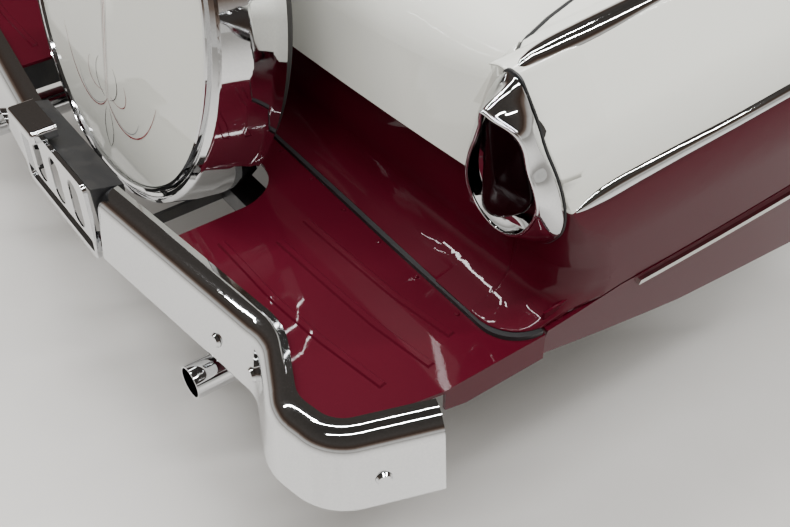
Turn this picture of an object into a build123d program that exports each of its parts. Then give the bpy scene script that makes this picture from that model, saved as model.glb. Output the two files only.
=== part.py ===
"""Tail section of a 1950s convertible car with a spare wheel carried behind the boot.

Millimetres. X is the car's right, Y is forward, Z is up. The origin is the middle of the
four bolts at the front ends of the two frame rails, where the section is held.
"""
import os
from math import cos, radians, sin, sqrt, tan

from build123d import *

# Frame rails and the bolted joint that holds the whole section
rail_x = 420
rail_width = 60
rail_height = 90
rail_wall = 6
rail_rear_y = -1190
splice_thickness = 12
splice_width = 90
splice_height = 140
bolt_rise = 112
bolt_hole = 13
member_y = -1165
member_width = 60
member_height = 45

# Body shell
wall = 16
form_x = 790
body_bottom = 116
lid_gap = 6
lid_front_y = -220
lid_corner = 700
lid_side_front = 702
lip_height = 302
lip_rise = 24
panel_split_x = 655
tulip_side_x = 690
fender_rear_y = -1116

# Lower side panel and wheel arch
skirt_bottom = -75
skirt_gap = 5
skirt_rear_y = -1040
flange_sheet = 4
arch_y = 30
arch_z = -55
arch_radius = 370
wheelhouse_sheet = 8

# Boot inside
floor_top = 53
floor_thickness = 8
liner = 10
boot_side_x = 640
boot_front_y = -26

# Boot lid arms
pivot_y = -62
pivot_z = 420
pivot_x = 560
arm_thickness = 12
pin_radius = 7
running_gap = 0.3

# Extension pan and its rubber welt
pan_top = 108
pan_sheet = 6
pan_half = 897
pan_flange = 52
rib_height = 3
rib_width = 15
well_half = 345
well_front_y = -1168
notch_half = 75
notch_front_y = -1128
welt_width = 10

# Bumper bar
bar_sheet = 6
bar_top = 122
bar_round = 42
bar_face = 101
bar_slant = 16
bar_lip = 22
bar_inner_x = 172
iron_thickness = 14
bumper_bolt_radius = 13
bolt_stand = 0.9

# Spare wheel and its cover
spare_y = -1300
spare_z = 390
lean = 10
disc_radius = 350
disc_crown = 14
cover_sheet = 3
cover_depth = 128
tyre_radius = 372
tyre_front = 16
tyre_width = 150
rim_radius = 186
rim_sheet = 5
rim_half = 68
hub_depth = 118
carrier_plate = 12
carrier_width = 130

# Number plate holder
plate_width = 330
plate_height = 172
plate_y = -1480
plate_bottom = -32
plate_rim = 13
box_depth = 62
plate_sheet = 5

# Exhaust
exhaust_x = 485
exhaust_z = -88
exhaust_radius = 25
tip_radius = 32
tip_mouth_y = -1470
tip_length = 190

# Tail lamp
lamp_x = 815
lamp_lean = 11
lamp_y = -1058
lamp_z = 388
seat_foot_z = 222
mouth_lean = 20
mouth_y = -1102
gasket_thickness = 3
opening_share = 0.8
bowl_share = 0.86
mouth_share = 0.93
bowl_sheet = 4
lens_share = 0.7
lens_recess = 12

# Bright trim
trim_sheet = 8

os.makedirs("parts", exist_ok=True)


def save(piece, name):
    """Label a finished piece and write it."""
    piece.part.label = name
    export_step(piece.part, f"parts/{name}.step")


def yz_plane(x):
    """Sketch plane across the car at x, drawn as (y, z)."""
    return Plane(origin=(x, 0, 0), x_dir=(0, 1, 0), z_dir=(1, 0, 0))


def xz_plane(y):
    """Sketch plane at station y, drawn as (x, z), facing the rear."""
    return Plane(origin=(0, y, 0), x_dir=(1, 0, 0), z_dir=(0, -1, 0))


# Deck profile, drawn as (y, z): columns are x, seam, cove, under lip, lip, shoulder, knuckle, crown
deck_table = [
    (0, (-1100, 116), (-1040, 138), (-1046, 285), (-1066, 302), (-1010, 546), 190, 612),
    (450, (-1104, 117), (-1037, 139), (-1038, 293), (-1062, 310), (-1020, 540), 145, 597),
    (650, (-1108, 117), (-1035, 139), (-1030, 301), (-1058, 318), (-1032, 533), 90, 578),
    (form_x, (-1112, 118), (-1032, 140), (-1022, 309), (-1054, 326), (-1042, 556), 50, 604),
]
cove_radius = 62

# Fender section, drawn as (x, z): columns are y, crest, belt corner, bottom corner
fender_table = [
    (0, (800, 612), (962, 420), (916, 176)),
    (-520, (812, 592), (962, 408), (913, 164)),
    (-900, (816, 572), (957, 388), (908, 146)),
    (-1140, (817, 556), (938, 368), (893, 120)),
]
crest_radius = 26
flank_radius = 260
shelf_x = 760
shelf_drop = 16
nacelle_x = 700
nacelle_z = 430
# Plan of the fender's rear corner: columns are z, outer x, corner radius
corner_table = [(-300, 900, 70), (60, 900, 70), (380, 950, 25), (900, 950, 25)]


def deck_form(inset):
    """The boot's outer form, or its inside when inset by the wall."""
    front = 3 * inset
    bottom = body_bottom - 10 - 4 * inset
    with BuildPart() as form:
        left, right = [(-1, row) for row in deck_table[:0:-1]], [(1, row) for row in deck_table]
        for side, (x, seam, cove, under, lip, shoulder, knuckle, crown) in left + right:
            with BuildSketch(yz_plane(side * x)):
                with BuildLine():
                    FilletPolyline(
                        (front, bottom), (seam[0], bottom), seam, cove, under, lip,
                        shoulder, (front, crown),
                        radius=[0, 0, 0, cove_radius, 0, 0, knuckle, 0],
                        close=True,
                    )
                make_face()
                if inset:
                    offset(amount=-inset, kind=Kind.INTERSECTION)
        loft()
    return form.part


# Lid edge beside the lamp, drawn as (x, z) from the lip upwards
lamp_side_line = [(700, 200), (706, 330), (727, 430), (776, 530), (800, 700)]
brow_y = -1046
brow_z = 566
brow_radius = 62


def beside_lamp(inset):
    """The space behind the boot lid and inboard of the lamp, where the fender has no form."""
    clear = lid_gap + inset
    with BuildPart() as space:
        with BuildSketch(yz_plane(400)):
            with BuildLine():
                FilletPolyline(
                    (-900, 900), (-900, brow_z - inset), (brow_y + inset, brow_z - 12 - inset),
                    (brow_y + inset, -200), (-1300, -200), (-1300, 900),
                    radius=[0, 0, brow_radius, 0, 0, 0], close=True,
                )
            make_face()
        extrude(amount=500)
        with BuildSketch(xz_plane(-800)):
            with BuildLine():
                Polyline(
                    (300, -300), (lamp_side_line[0][0] + clear, -300),
                    *[(x + clear, z) for x, z in lamp_side_line], (300, 900), close=True,
                )
            make_face()
        extrude(amount=600, mode=Mode.INTERSECT)
    return space.part


def corner_plan(inset):
    """The space inside the fender's rear corner seen from above, sharper at the lamp than at the foot."""
    rear = fender_rear_y + inset
    with BuildPart() as plan:
        for z, x, radius in corner_table:
            with BuildSketch(Plane.XY.offset(z)):
                with BuildLine():
                    FilletPolyline(
                        (400, 200), (400, rear), (x - inset, rear), (x - inset, -1000),
                        (1000 - inset, -800), (1000, 200),
                        radius=[0, 0, radius - inset, 0, 0, 0], close=True,
                    )
                make_face()
        loft(ruled=True)
    return plan.part


def fender_form(inset):
    """The right fender's outer form, or its inside when inset by the wall."""
    with BuildPart() as form:
        for y, crest, belt, foot in fender_table:
            station = y + 3 * inset if y == 0 else y
            with BuildSketch(xz_plane(station)):
                with BuildLine():
                    FilletPolyline(
                        (nacelle_x, skirt_bottom - 4 * inset),
                        (foot[0] - 46, skirt_bottom - 4 * inset),
                        foot, belt, crest, (shelf_x, crest[1] - shelf_drop), (nacelle_x, nacelle_z),
                        radius=[0, 0, 0, flank_radius, crest_radius, 0, 0],
                        close=True,
                    )
                make_face()
                if inset:
                    offset(amount=-inset, kind=Kind.INTERSECTION)
        loft()
        add(corner_plan(inset), mode=Mode.INTERSECT)
        _, seam, cove, *_ = deck_table[-1]
        top_y = lamp_y + inset - tan(radians(lamp_lean)) * (700 - lamp_z)
        low_y = lamp_y + inset - tan(radians(lamp_lean)) * (seat_foot_z - lamp_z)
        with BuildSketch(yz_plane(0)):
            with BuildLine():
                FilletPolyline(
                    (200, -300), (seam[0] + inset, -300), (seam[0] + inset, seam[1]),
                    (cove[0] + inset, cove[1] + inset / 2), (low_y, seat_foot_z),
                    (top_y, 700), (200, 700),
                    radius=[0, 0, 0, cove_radius + inset, 0, 0, 0],
                    close=True,
                )
            make_face()
        extrude(amount=1000, mode=Mode.INTERSECT)
        add(beside_lamp(inset), mode=Mode.SUBTRACT)
    return form.part


def body_form(inset):
    """Boot and both fenders as one form."""
    fender = fender_form(inset)
    with BuildPart() as form:
        add(deck_form(inset))
        add(fender)
        add(mirror(fender, about=Plane.YZ))
    return form.part


def lid_zone(grow):
    """The space above the boot opening, grown by the shut gap."""
    rear, front = -1250, lid_front_y + 1.4 * grow
    with BuildPart() as zone:
        with BuildSketch(Plane.XY.offset(200)):
            edge = [(lid_side_front, front + 200), (lid_side_front, -860), (726, -940),
                    (754, -1005), (776, -1060), (776, rear)]
            with BuildLine():
                Polyline(
                    *[(x + grow, y) for x, y in edge],
                    *[(-x - grow, y) for x, y in reversed(edge)], close=True,
                )
            make_face()
        extrude(amount=600)
        with BuildSketch(xz_plane(200)):
            with BuildLine():
                side_z = lip_height + lip_rise * (lid_corner / form_x) ** 2 - 4 - grow
                low = ThreePointArc(
                    (-lid_corner - grow, side_z), (0, lip_height - 4 - grow), (lid_corner + grow, side_z)
                )
                right = [(x + grow, z) for x, z in lamp_side_line[1:]]
                Polyline(
                    low @ 1, *right, (right[-1][0], 900), (-right[-1][0], 900),
                    *[(-x, z) for x, z in reversed(right)], low @ 0,
                )
            make_face()
        extrude(amount=1600, mode=Mode.INTERSECT)
        with BuildSketch(yz_plane(-900)):
            with BuildLine():
                Polyline(
                    (rear, 100), (front - 500, 100), (front + 15, 600 + 15),
                    (front + 200, 800), (rear, 800), close=True,
                )
            make_face()
        extrude(amount=1800, mode=Mode.INTERSECT)
    return zone.part


# Body shell, cut into the real panels
body_inside = body_form(wall)
with BuildPart() as shell:
    add(body_form(0))
    add(body_inside, mode=Mode.SUBTRACT)

with BuildPart() as deck_lid:
    add(shell.part)
    add(lid_zone(0), mode=Mode.INTERSECT)
save(deck_lid, "deck_lid")

with BuildPart() as fixed_shell:
    add(shell.part)
    add(lid_zone(lid_gap), mode=Mode.SUBTRACT)

with BuildPart() as tulip_panel:
    add(fixed_shell.part)
    with Locations((0, -150, 500)):
        Box(2 * tulip_side_x, 400, 400, mode=Mode.INTERSECT)
save(tulip_panel, "tulip_panel")

# Line along the flank where the quarter panel stops and the lower side panel starts (y, z)
foot_line = [(-1200, body_bottom), (-1050, body_bottom), (-900, 146), (-520, 164), (20, 176)]
# Lower edge of the side panel (y, z)
sill_line = [(-1060, 52), (-900, 18), (-700, -24), (-340, -66), (20, -70)]


def above(line, drop=0):
    """Everything above a line along the flank."""
    with BuildPart() as zone:
        with BuildSketch(yz_plane(-1000)):
            with BuildLine():
                Polyline(
                    *[(y, z - drop) for y, z in line],
                    (line[-1][0], 900), (line[0][0], 900), close=True,
                )
            make_face()
        extrude(amount=2000)
    return zone.part


def lamp_plane(tilt, y):
    """Plane across the tail lamp, facing the rear, its top leaning back by tilt."""
    a = radians(tilt)
    return Plane(origin=(lamp_x, y, lamp_z), x_dir=(1, 0, 0), z_dir=(0, -cos(a), -sin(a)))


with BuildPart() as rear_panel:
    add(fixed_shell.part)
    add(above(foot_line), mode=Mode.INTERSECT)
    with Locations((0, -1000, 300)):
        Box(2 * panel_split_x, 500, 900, mode=Mode.INTERSECT)
save(rear_panel, "rear_panel")

# Tail lamp outlines, drawn as (across, up, corner radius) from the lamp's middle
seat_outline = [
    (6, 182, 20), (34, 180, 16), (62, 120, 200), (72, 78, 120), (104, 20, 150),
    (102, -62, 120), (44, -138, 100), (-66, -147, 56), (-108, -86, 85), (-78, 50, 400),
]
mouth_outline = [
    (16, 150, 40), (72, 152, 34), (96, 108, 40), (80, 66, 40), (102, 16, 70),
    (80, -62, 150), (18, -142, 120), (-66, -164, 50), (-106, -112, 55), (-62, 20, 500),
]


def outline_face(outline, share=1):
    """Face inside a rounded outline drawn at a share of its size."""
    with BuildSketch() as face:
        with BuildLine():
            FilletPolyline(
                *[(x * share, z * share) for x, z, _ in outline],
                radius=[r * share for _, _, r in outline], close=True,
            )
        make_face()
    return face.sketch


seat = lamp_plane(lamp_lean, lamp_y)
mouth = lamp_plane(mouth_lean, mouth_y)

# Quarter panels with the lamp opening, its flat seat and the wheel arch
with BuildPart() as quarter_right:
    add(fixed_shell.part)
    add(above(foot_line), mode=Mode.INTERSECT)
    with Locations((500, -575, 400)):
        Box(1000, 1200, 800, mode=Mode.INTERSECT)
    with Locations((0, -1000, 300)):
        Box(2 * panel_split_x, 500, 900, mode=Mode.SUBTRACT)
    with Locations((0, -150, 500)):
        Box(2 * tulip_side_x, 400, 400, mode=Mode.SUBTRACT)
    with BuildSketch(seat):
        add(outline_face(seat_outline, 1.01))
    extrude(amount=80, mode=Mode.SUBTRACT)
    with BuildSketch(seat.offset(-60)):
        add(outline_face(seat_outline, opening_share))
    extrude(amount=120, mode=Mode.SUBTRACT)
    with BuildSketch(yz_plane(500)):
        with Locations((arch_y, arch_z)):
            Circle(arch_radius)
    extrude(amount=600, mode=Mode.SUBTRACT)
with BuildPart() as quarter_left:
    add(mirror(quarter_right.part, about=Plane.YZ))
save(quarter_right, "quarter_panel_right")
save(quarter_left, "quarter_panel_left")

# Lower side panels, cut from the same shell, with a flange that reaches up behind the quarter panel
with BuildPart() as skirt_flange:
    add(fender_form(wall))
    add(fender_form(wall + flange_sheet), mode=Mode.SUBTRACT)
    add(above(foot_line, 30), mode=Mode.INTERSECT)
    add(above(foot_line, -24), mode=Mode.SUBTRACT)
    with BuildSketch(yz_plane(500)):
        with Locations((arch_y, arch_z)):
            Circle(arch_radius + wheelhouse_sheet)
    extrude(amount=600, mode=Mode.SUBTRACT)
with BuildPart() as skirt_right:
    add(shell.part)
    add(above(sill_line), mode=Mode.INTERSECT)
    add(above(foot_line, skirt_gap), mode=Mode.SUBTRACT)
    add(skirt_flange.part)
    with Locations((880, skirt_rear_y + 600, 0)):
        Box(240, 1200, 700, mode=Mode.INTERSECT)
    with BuildSketch(yz_plane(500)):
        with Locations((arch_y, arch_z)):
            Circle(arch_radius)
    extrude(amount=600, mode=Mode.SUBTRACT)
with BuildPart() as skirt_left:
    add(mirror(skirt_right.part, about=Plane.YZ))
save(skirt_right, "lower_side_right")
save(skirt_left, "lower_side_left")

# Frame rails: box tubes with a bolted splice plate at the front end
with BuildPart() as rails:
    for side in (-1, 1):
        with BuildSketch(xz_plane(0)):
            with Locations((side * rail_x, 0)):
                Rectangle(rail_width, rail_height)
                Rectangle(rail_width - 2 * rail_wall, rail_height - 2 * rail_wall, mode=Mode.SUBTRACT)
        extrude(amount=-rail_rear_y)
        with BuildSketch(xz_plane(0)):
            with Locations((side * rail_x, 0)):
                Rectangle(splice_width, splice_height)
                with Locations((0, bolt_rise / 2), (0, -bolt_rise / 2)):
                    Circle(bolt_hole / 2, mode=Mode.SUBTRACT)
        extrude(amount=splice_thickness)
save(rails, "frame_rails")

with BuildPart() as cross_member:
    with BuildSketch(Plane(origin=(0, member_y, -rail_height / 2 + member_height / 2))):
        Rectangle(2 * rail_x - rail_width, member_width)
    extrude(amount=member_height / 2, both=True)
    with BuildSketch(yz_plane(0)):
        with Locations((member_y, (member_height - rail_height) / 2)):
            Rectangle(member_width - 2 * rail_wall, member_height - 2 * rail_wall)
    extrude(amount=rail_x, both=True, mode=Mode.SUBTRACT)
save(cross_member, "rear_cross_member")

# Boot inside: floor, side walls and front wall
floor_rear_y = -1086
side_height = 387
with BuildPart() as boot_floor:
    with BuildSketch(Plane.XY.offset(floor_top - floor_thickness)):
        with Locations((0, (floor_rear_y + boot_front_y) / 2)):
            Rectangle(2 * boot_side_x, boot_front_y - floor_rear_y)
    extrude(amount=floor_thickness)
    for x in (-480, -160, 160, 480):
        with BuildSketch(Plane.XY.offset(floor_top)):
            with Locations((x, (floor_rear_y + boot_front_y) / 2)):
                SlotOverall(700, 60, rotation=90)
        extrude(amount=4, taper=30)
    with Locations((0, floor_rear_y + liner / 2, (floor_top + pan_top - pan_sheet) / 2)):
        Box(2 * boot_side_x, liner, pan_top - pan_sheet - floor_top)
save(boot_floor, "boot_floor")

with BuildPart() as boot_sides:
    for side in (-1, 1):
        with BuildSketch(yz_plane(side * (boot_side_x - liner / 2))):
            with BuildLine():
                Polyline(
                    (boot_front_y, floor_top), (boot_front_y, floor_top + side_height),
                    (-985, floor_top + side_height), (-1000, floor_top + 77),
                    (floor_rear_y + liner, floor_top), close=True,
                )
            make_face()
        extrude(amount=liner / 2, both=True)
save(boot_sides, "boot_side_walls")

with BuildPart() as boot_front:
    with BuildSketch(xz_plane(boot_front_y + liner)):
        with BuildLine():
            crown = ThreePointArc((-boot_side_x, 530), (0, 582), (boot_side_x, 530))
            Polyline(crown @ 1, (boot_side_x, floor_top - floor_thickness),
                     (-boot_side_x, floor_top - floor_thickness), crown @ 0)
        make_face()
    extrude(amount=liner)
save(boot_front, "boot_front_wall")

# Boot lid arms and the brackets that carry their pins
arm_path = [(0, 0), (-130, -110), (-262, -140), (-322, -60), (-330, 160)]
arm_end_y = pivot_y + arm_path[-1][0]
with BuildPart() as lid_arms:
    for side in (-1, 1):
        with BuildSketch(yz_plane(side * pivot_x)):
            with BuildLine():
                FilletPolyline(
                    *[(pivot_y + y, pivot_z + z) for y, z in arm_path], radius=[60, 60, 60]
                )
            trace(line_width=24)
            with Locations((pivot_y, pivot_z)):
                Circle(20)
                Circle(pin_radius + running_gap, mode=Mode.SUBTRACT)
        extrude(amount=arm_thickness / 2, both=True)
        with Locations((side * pivot_x, arm_end_y, 570)):
            Box(44, 70, 50)
    add(body_inside, mode=Mode.INTERSECT)
save(lid_arms, "lid_arms")

with BuildPart() as lid_brackets:
    for side in (-1, 1):
        for cheek in (-1, 1):
            x = side * pivot_x + cheek * (arm_thickness + 6)
            with BuildSketch(yz_plane(x)):
                with BuildLine():
                    Polyline(
                        (pivot_y - 14, pivot_z - 14), (boot_front_y, pivot_z - 40),
                        (boot_front_y, pivot_z + 40), (pivot_y - 14, pivot_z + 14), close=True,
                    )
                make_face()
            extrude(amount=3, both=True)
        with BuildSketch(yz_plane(side * pivot_x)):
            with Locations((pivot_y, pivot_z)):
                Circle(pin_radius)
        extrude(amount=arm_thickness + 12, both=True)
save(lid_brackets, "lid_arm_brackets")

# Extension pan: ribbed sheet, open round the spare wheel, with a turned-down side flange
pan_outline = [(160, -1431), (650, -1376), (785, -1437), (846, -1424), (888, -1290), (pan_half, -1240)]
rib_paths = [
    [(405, -1340), (585, -1340), (700, -1330), (835, -1308)],
    [(460, -1258), (590, -1252), (720, -1244), (845, -1226)],
    [(440, -1192), (560, -1187), (690, -1180), (812, -1162)],
]
with BuildPart() as pan:
    with BuildSketch(Plane.XY.offset(pan_top - pan_sheet)):
        for side in (-1, 1):
            with BuildLine():
                Polyline(
                    (0, -1431), *[(side * x, y) for x, y in pan_outline],
                    (side * pan_half, skirt_rear_y - skirt_gap),
                    (side * 700, skirt_rear_y - skirt_gap), (side * 700, floor_rear_y + liner),
                    (0, floor_rear_y + liner), close=True,
                )
            make_face()
        with BuildLine():
            FilletPolyline(
                (-well_half, -1500), (-well_half, well_front_y), (well_half, well_front_y),
                (well_half, -1500), radius=[0, 95, 95, 0], close=True,
            )
        make_face(mode=Mode.SUBTRACT)
        with Locations((0, notch_front_y - 50)):
            Rectangle(2 * notch_half, 100, mode=Mode.SUBTRACT)
    extrude(amount=pan_sheet)
    for side in (-1, 1):
        for path in rib_paths:
            with BuildSketch(Plane.XY.offset(pan_top)):
                with BuildLine():
                    FilletPolyline(*[(side * x, y) for x, y in path], radius=[300, 300])
                trace(line_width=rib_width)
            extrude(amount=rib_height, taper=40)
        with BuildSketch(yz_plane(side * (pan_half - pan_sheet / 2))):
            with BuildLine():
                Polyline(
                    (-1240, pan_top), (skirt_rear_y - skirt_gap, pan_top),
                    (skirt_rear_y - skirt_gap, pan_top - pan_flange),
                    (-1200, pan_top - pan_flange), (-1240, pan_top - pan_flange + 10), close=True,
                )
            make_face()
        extrude(amount=pan_sheet / 2, both=True)
save(pan, "extension_pan")

with BuildPart() as welt:
    with BuildSketch(Plane.XY.offset(pan_top)):
        with BuildLine():
            edge = 889
            FilletPolyline(
                (-edge, -1048), (-edge, -1113), (-600, -1111), (0, -1099), (600, -1111),
                (edge, -1113), (edge, -1048), radius=[64, 900, 2500, 900, 64],
            )
        trace(line_width=welt_width)
    extrude(amount=body_bottom - pan_top)
save(welt, "pan_welt")

# Bumper bars: one rolled section swept along the back edge of the bar's top
bar_path = [(bar_inner_x, -1418), (650, -1362), (785, -1426), (858, -1411), (909, -1268)]
bar_radii = [150, 60, 52]
with BuildPart() as bar_right:
    with BuildLine(Plane.XY.offset(bar_top)) as bar_line:
        FilletPolyline(*bar_path, radius=bar_radii)
    bar_wire = bar_line.wires()[0]
    ahead = bar_wire % 0
    with BuildSketch(Plane(origin=bar_wire @ 0, x_dir=(ahead.Y, -ahead.X, 0), z_dir=ahead)):
        with BuildLine():
            FilletPolyline(
                (0, 0), (bar_round + 2, 0), (bar_round + bar_slant, bar_round + bar_face),
                (bar_round + bar_slant - bar_lip, bar_round + bar_face + 6),
                (bar_round + bar_slant - bar_lip, bar_round + bar_face + 6 - bar_sheet),
                (bar_round + bar_slant - bar_sheet - 4, bar_round + bar_face - bar_sheet),
                (bar_round + 2 - bar_sheet, bar_sheet), (0, bar_sheet),
                radius=[0, bar_round - 4, 8, 0, 0, 3, bar_round - 4 - bar_sheet, 0], close=True,
            )
        make_face()
    sweep(path=bar_wire)
with BuildPart() as bar_left:
    add(mirror(bar_right.part, about=Plane.YZ))
save(bar_right, "bumper_bar_right")
save(bar_left, "bumper_bar_left")


def bar_face_plane(t, drop):
    """Plane on the bar's outer face, t of the way along it and drop below its top."""
    along = bar_wire % t
    out = Vector(along.Y, -along.X, 0)
    depth = bar_round + 2 + (bar_slant - 2) * drop / (bar_round + bar_face)
    normal = out * (bar_round + bar_face) + Vector(0, 0, bar_slant - 2)
    face = Plane(origin=bar_wire @ t + out * depth - Vector(0, 0, drop), x_dir=along, z_dir=normal)
    return face.offset(bolt_stand)


bolt_spots = [(0.42, 92), (0.55, 94), (0.89, 86)]
with BuildPart() as bumper_bolts:
    for t, drop in bolt_spots:
        with BuildSketch(bar_face_plane(t, drop)):
            Circle(bumper_bolt_radius)
        extrude(amount=5, taper=30)
    add(mirror(bumper_bolts.part, about=Plane.YZ))
save(bumper_bolts, "bumper_bolts")

# Bumper irons: plates on the outer faces of the rails, out to the inside of each bar
with BuildPart() as iron_blank:
    with BuildSketch(yz_plane(rail_x + rail_width / 2)):
        with BuildLine():
            FilletPolyline(
                (-1000, -34), (-1000, 34), (-1190, 34), (-1260, 40), (-1500, 40),
                (-1500, -20), (-1260, -20), (-1190, -34),
                radius=[0, 0, 40, 40, 0, 0, 40, 40], close=True,
            )
        make_face()
    extrude(amount=iron_thickness)
    add(bar_right.part, mode=Mode.SUBTRACT)
iron = iron_blank.part.solids().sort_by(Axis.Y)[-1]
with BuildPart() as irons:
    add(iron)
    add(mirror(iron, about=Plane.YZ))
save(irons, "bumper_irons")

# Spare wheel: everything turned about the wheel's own axis, drawn as (radius, depth)
lean_sin, lean_cos = sin(radians(lean)), cos(radians(lean))
wheel_centre = Vector(0, spare_y, spare_z)
wheel_axis = Axis(wheel_centre, (0, lean_cos, -lean_sin))
turning_plane = Plane(origin=wheel_centre, x_dir=(0, lean_sin, lean_cos), z_dir=(-1, 0, 0))


def across_wheel(depth):
    """Plane across the wheel, depth ahead of the rim of its painted disc."""
    return Plane(
        origin=wheel_centre + wheel_axis.direction * depth,
        x_dir=(1, 0, 0), z_dir=wheel_axis.direction,
    )


with BuildPart() as cover_disc:
    with BuildSketch(turning_plane):
        with BuildLine():
            face = TangentArc((0, -disc_crown), (disc_radius, 0), tangent=(1, 0))
            back = TangentArc((0, cover_sheet - disc_crown), (disc_radius, cover_sheet), tangent=(1, 0))
            Line(face @ 1, back @ 1)
            Line(face @ 0, back @ 0)
        make_face()
    revolve(axis=wheel_axis)
save(cover_disc, "cover_disc")

grip = tyre_radius + running_gap
with BuildPart() as cover_ring:
    with BuildSketch(turning_plane):
        with BuildLine():
            FilletPolyline(
                (342, cover_sheet + 0.3), (351, cover_sheet + 0.3), (353, -6), (359, -6), (362, 6), (372, 6),
                (375, -3), (383, 6), (389, 60), (389, 104), (384, cover_depth), (grip, cover_depth),
                (grip, cover_depth - 4), (381, cover_depth - 4), (385.5, 103), (385.5, 61), (379, 11), (342, 11),
                radius=[0, 0, 0, 0, 3, 3, 0, 10, 60, 50, 0, 0, 0, 0, 46, 56, 6, 0], close=True,
            )
        make_face()
    revolve(axis=wheel_axis)
save(cover_ring, "cover_ring")

bead = rim_radius + rim_sheet / 2 + running_gap
tyre_mid = tyre_front + tyre_width / 2
with BuildPart() as spare_tyre:
    with BuildSketch(turning_plane):
        with BuildLine():
            side = [(bead, 48), (bead + 8, 57), (290, 75), (tyre_radius - 12, 64), (tyre_radius, 44)]
            FilletPolyline(
                *[(r, tyre_mid - d) for r, d in side], *[(r, tyre_mid + d) for r, d in reversed(side)],
                radius=[0, 6, 70, 20, 8, 8, 20, 70, 6, 0], close=True,
            )
        make_face()
    revolve(axis=wheel_axis)
save(spare_tyre, "spare_tyre")

with BuildPart() as spare_wheel:
    with BuildSketch(turning_plane):
        with BuildLine():
            Polyline(
                (rim_radius + 14, tyre_mid - rim_half), (rim_radius, tyre_mid - rim_half + 4),
                (rim_radius, tyre_mid - 44), (158, tyre_mid - 34), (158, tyre_mid + 14),
                (rim_radius, tyre_mid + 36), (rim_radius, tyre_mid + rim_half - 4),
                (rim_radius + 14, tyre_mid + rim_half),
            )
        trace(line_width=rim_sheet)
        with BuildLine():
            FilletPolyline(
                (30, hub_depth), (72, hub_depth), (112, hub_depth - 44), (158, hub_depth - 30),
                (158, hub_depth - 36), (112, hub_depth - 50), (68, hub_depth - rim_sheet - 1),
                (30, hub_depth - rim_sheet - 1), radius=[0, 6, 12, 0, 0, 12, 6, 0], close=True,
            )
        make_face()
    revolve(axis=wheel_axis)
    with BuildSketch(across_wheel(hub_depth - 30)):
        with PolarLocations(57, 5):
            Circle(8)
    extrude(amount=60, mode=Mode.SUBTRACT)
save(spare_wheel, "spare_wheel")

# Carrier: a leaning plate behind the wheel on a foot bolted to the cross member, with its hub flange
carrier_depth = 178
member_top = -rail_height / 2 + member_height
with BuildPart() as carrier:
    with BuildSketch(across_wheel(carrier_depth)):
        with Locations((0, 165)):
            RectangleRounded(carrier_width, 420, 20)
    extrude(amount=carrier_plate)
    with Locations((0, -1000, member_top - 500)):
        Box(1000, 1000, 1000, mode=Mode.SUBTRACT)
    with BuildSketch(across_wheel(hub_depth)):
        Circle(72)
    extrude(amount=6)
    with BuildSketch(across_wheel(hub_depth + 6)):
        Circle(40)
    extrude(amount=carrier_depth - hub_depth - 6)
    with BuildSketch(across_wheel(hub_depth - 22)):
        with PolarLocations(57, 5):
            Circle(7)
    extrude(amount=30)
    with BuildSketch(Plane.XY.offset(member_top)):
        with Locations((0, member_y)):
            Rectangle(carrier_width + 40, member_width)
    extrude(amount=8)
save(carrier, "spare_carrier")

# Plate housing between the bars, the plate frame hung on its ear bolts, and the plate lamp
housing_half = bar_inner_x - 0.5
hinge_y = plate_y + 36
hinge_z = plate_bottom + 36
box_front_y = plate_y + 12
box_top = plate_bottom + plate_height - 6
with BuildPart() as housing:
    for side in (-1, 1):
        with BuildSketch(yz_plane(side * (housing_half - plate_sheet / 2))):
            with BuildLine():
                FilletPolyline(
                    (box_front_y, box_top), (box_front_y + box_depth, box_top - 14),
                    (box_front_y + box_depth, 20), (hinge_y + 16, plate_bottom + 6),
                    (box_front_y + 6, plate_bottom + 6),
                    radius=[0, 20, 20, 14, 6], close=True,
                )
            make_face()
            with Locations((hinge_y, hinge_z)):
                Circle(5, mode=Mode.SUBTRACT)
        extrude(amount=plate_sheet / 2, both=True)
        with BuildSketch(yz_plane(side * (housing_half + 0.01))):
            with Locations((hinge_y, hinge_z)):
                Circle(4.7)
        extrude(amount=-side * 14)
        with BuildSketch(yz_plane(side * housing_half)):
            with Locations((hinge_y, hinge_z)):
                Circle(9)
        extrude(amount=side * 5)
    with BuildSketch(xz_plane(box_front_y + box_depth)):
        with Locations((0, 72)):
            Rectangle(2 * housing_half, 88)
    extrude(amount=plate_sheet)
    with BuildSketch(yz_plane(-housing_half)):
        with BuildLine():
            Polyline((box_front_y, box_top), (box_front_y + box_depth, box_top - 14),
                     (box_front_y + box_depth, box_top - 14 - plate_sheet),
                     (box_front_y, box_top - plate_sheet), close=True)
        make_face()
    extrude(amount=2 * housing_half)
    for side in (-1, 1):
        with BuildSketch(yz_plane(side * 120)):
            with BuildLine():
                Polyline((box_front_y + box_depth - plate_sheet, 60), (box_front_y + box_depth, 60),
                         (box_front_y + box_depth + 14, -16), (member_y - member_width / 2, -16),
                         (member_y - member_width / 2, -40), (box_front_y + box_depth - plate_sheet, -40), close=True)
            make_face()
        extrude(amount=4, both=True)
save(housing, "plate_housing")

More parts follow.
